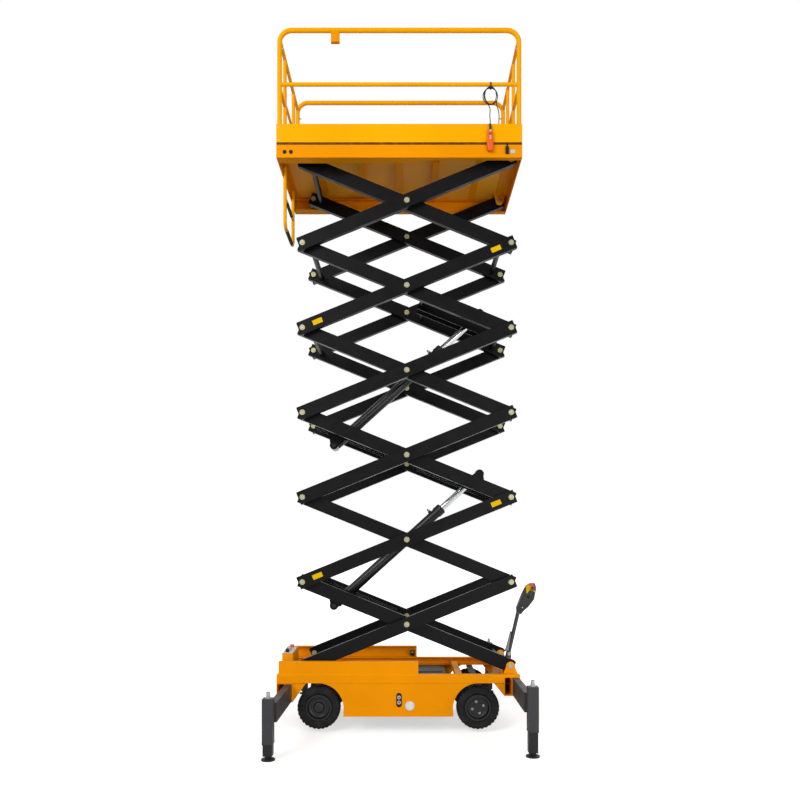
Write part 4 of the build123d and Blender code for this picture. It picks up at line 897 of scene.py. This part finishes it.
# ---------------------------------------------------------------- floor, light and camera
def backdrop(name):
    """Pale and matt, fading to white away from the object. It keeps the object's shadow."""
    mat = bpy.data.materials.new(name)
    mat.use_nodes = True
    nodes, links = mat.node_tree.nodes, mat.node_tree.links
    nodes.clear()
    diffuse, dim = nodes.new("ShaderNodeBsdfDiffuse"), nodes.new("ShaderNodeBsdfDiffuse")
    diffuse.inputs["Color"].default_value = (0.8, 0.8, 0.8, 1)
    dim.inputs["Color"].default_value = (0.42, 0.42, 0.42, 1)
    coordinates = nodes.new("ShaderNodeTexCoord")
    reach = nodes.new("ShaderNodeVectorMath")
    reach.operation = "LENGTH"
    links.new(coordinates.outputs["Object"], reach.inputs[0])
    glow = nodes.new("ShaderNodeEmission")
    links.new(remap(nodes, links, reach.outputs["Value"], 0.56, 1.0, 1.6, 4.0), glow.inputs["Strength"])
    both = nodes.new("ShaderNodeAddShader")
    mix = nodes.new("ShaderNodeMixShader")
    output = nodes.new("ShaderNodeOutputMaterial")
    links.new(seen(nodes, links), mix.inputs[0])
    links.new(diffuse.outputs[0], both.inputs[0])
    links.new(glow.outputs[0], both.inputs[1])
    links.new(dim.outputs[0], mix.inputs[1])
    links.new(both.outputs[0], mix.inputs[2])
    links.new(mix.outputs[0], output.inputs[0])
    return mat


def seen(nodes, links):
    """1 for camera, glossy and transmission rays."""
    path = nodes.new("ShaderNodeLightPath")
    total = path.outputs["Is Camera Ray"]
    for kind in ("Is Glossy Ray", "Is Transmission Ray"):
        highest = nodes.new("ShaderNodeMath")
        highest.operation = "MAXIMUM"
        links.new(total, highest.inputs[0])
        links.new(path.outputs[kind], highest.inputs[1])
        total = highest.outputs[0]
    return total


FLOOR = 60
corners = [(-FLOOR, -FLOOR, 0), (FLOOR, -FLOOR, 0), (FLOOR, FLOOR, 0), (-FLOOR, FLOOR, 0)]
floor_mesh = bpy.data.meshes.new("floor")
floor_mesh.from_pydata(corners, [], [(0, 1, 2, 3)])
floor_mesh.materials.append(backdrop("floor_white"))
floor = bpy.data.objects.new("floor", floor_mesh)
bpy.context.collection.objects.link(floor)

world = bpy.data.worlds.new("studio")
bpy.context.scene.world = world
world.use_nodes = True
nodes, links = world.node_tree.nodes, world.node_tree.links
nodes.clear()
soft, white = nodes.new("ShaderNodeBackground"), nodes.new("ShaderNodeBackground")
soft.inputs["Color"].default_value = (1.0, 1.0, 1.0, 1)
soft.inputs["Strength"].default_value = 0.42
white.inputs["Color"].default_value = (1, 1, 1, 1)
white.inputs["Strength"].default_value = 1.0
mix = nodes.new("ShaderNodeMixShader")
links.new(seen(nodes, links), mix.inputs[0])
links.new(soft.outputs[0], mix.inputs[1])
links.new(white.outputs[0], mix.inputs[2])
links.new(mix.outputs[0], nodes.new("ShaderNodeOutputWorld").inputs[0])


def lamp(name, place, aim, size, watts):
    data = bpy.data.lights.new(name, "AREA")
    data.size = size
    data.energy = watts
    obj = bpy.data.objects.new(name, data)
    obj.location = place
    obj.rotation_euler = (Vector(aim) - Vector(place)).to_track_quat("-Z", "Y").to_euler()
    bpy.context.collection.objects.link(obj)


lamp("key", (-5.5, -8.5, 7.0), (0, 0, 3.0), 5.0, 600)
lamp("fill", (5.0, -8.0, 2.6), (0, 0, 1.2), 4.0, 330)
lamp("rim", (2.0, 8.0, 9.0), (0, 0, 3.0), 6.0, 200)

scene = bpy.context.scene
scene.view_settings.view_transform = "Standard"
camera_data = bpy.data.cameras.new("camera")
camera_data.lens = 33.35
camera_data.sensor_width = 36
camera_data.shift_x = -0.0085
camera_data.shift_y = 0.1775
camera_data.clip_end = 200
camera = bpy.data.objects.new("camera", camera_data)
camera.location = (-0.0149, -7.195, 1.725)
camera.rotation_euler = (pi / 2, 0, 0)
bpy.context.collection.objects.link(camera)
scene.camera = camera
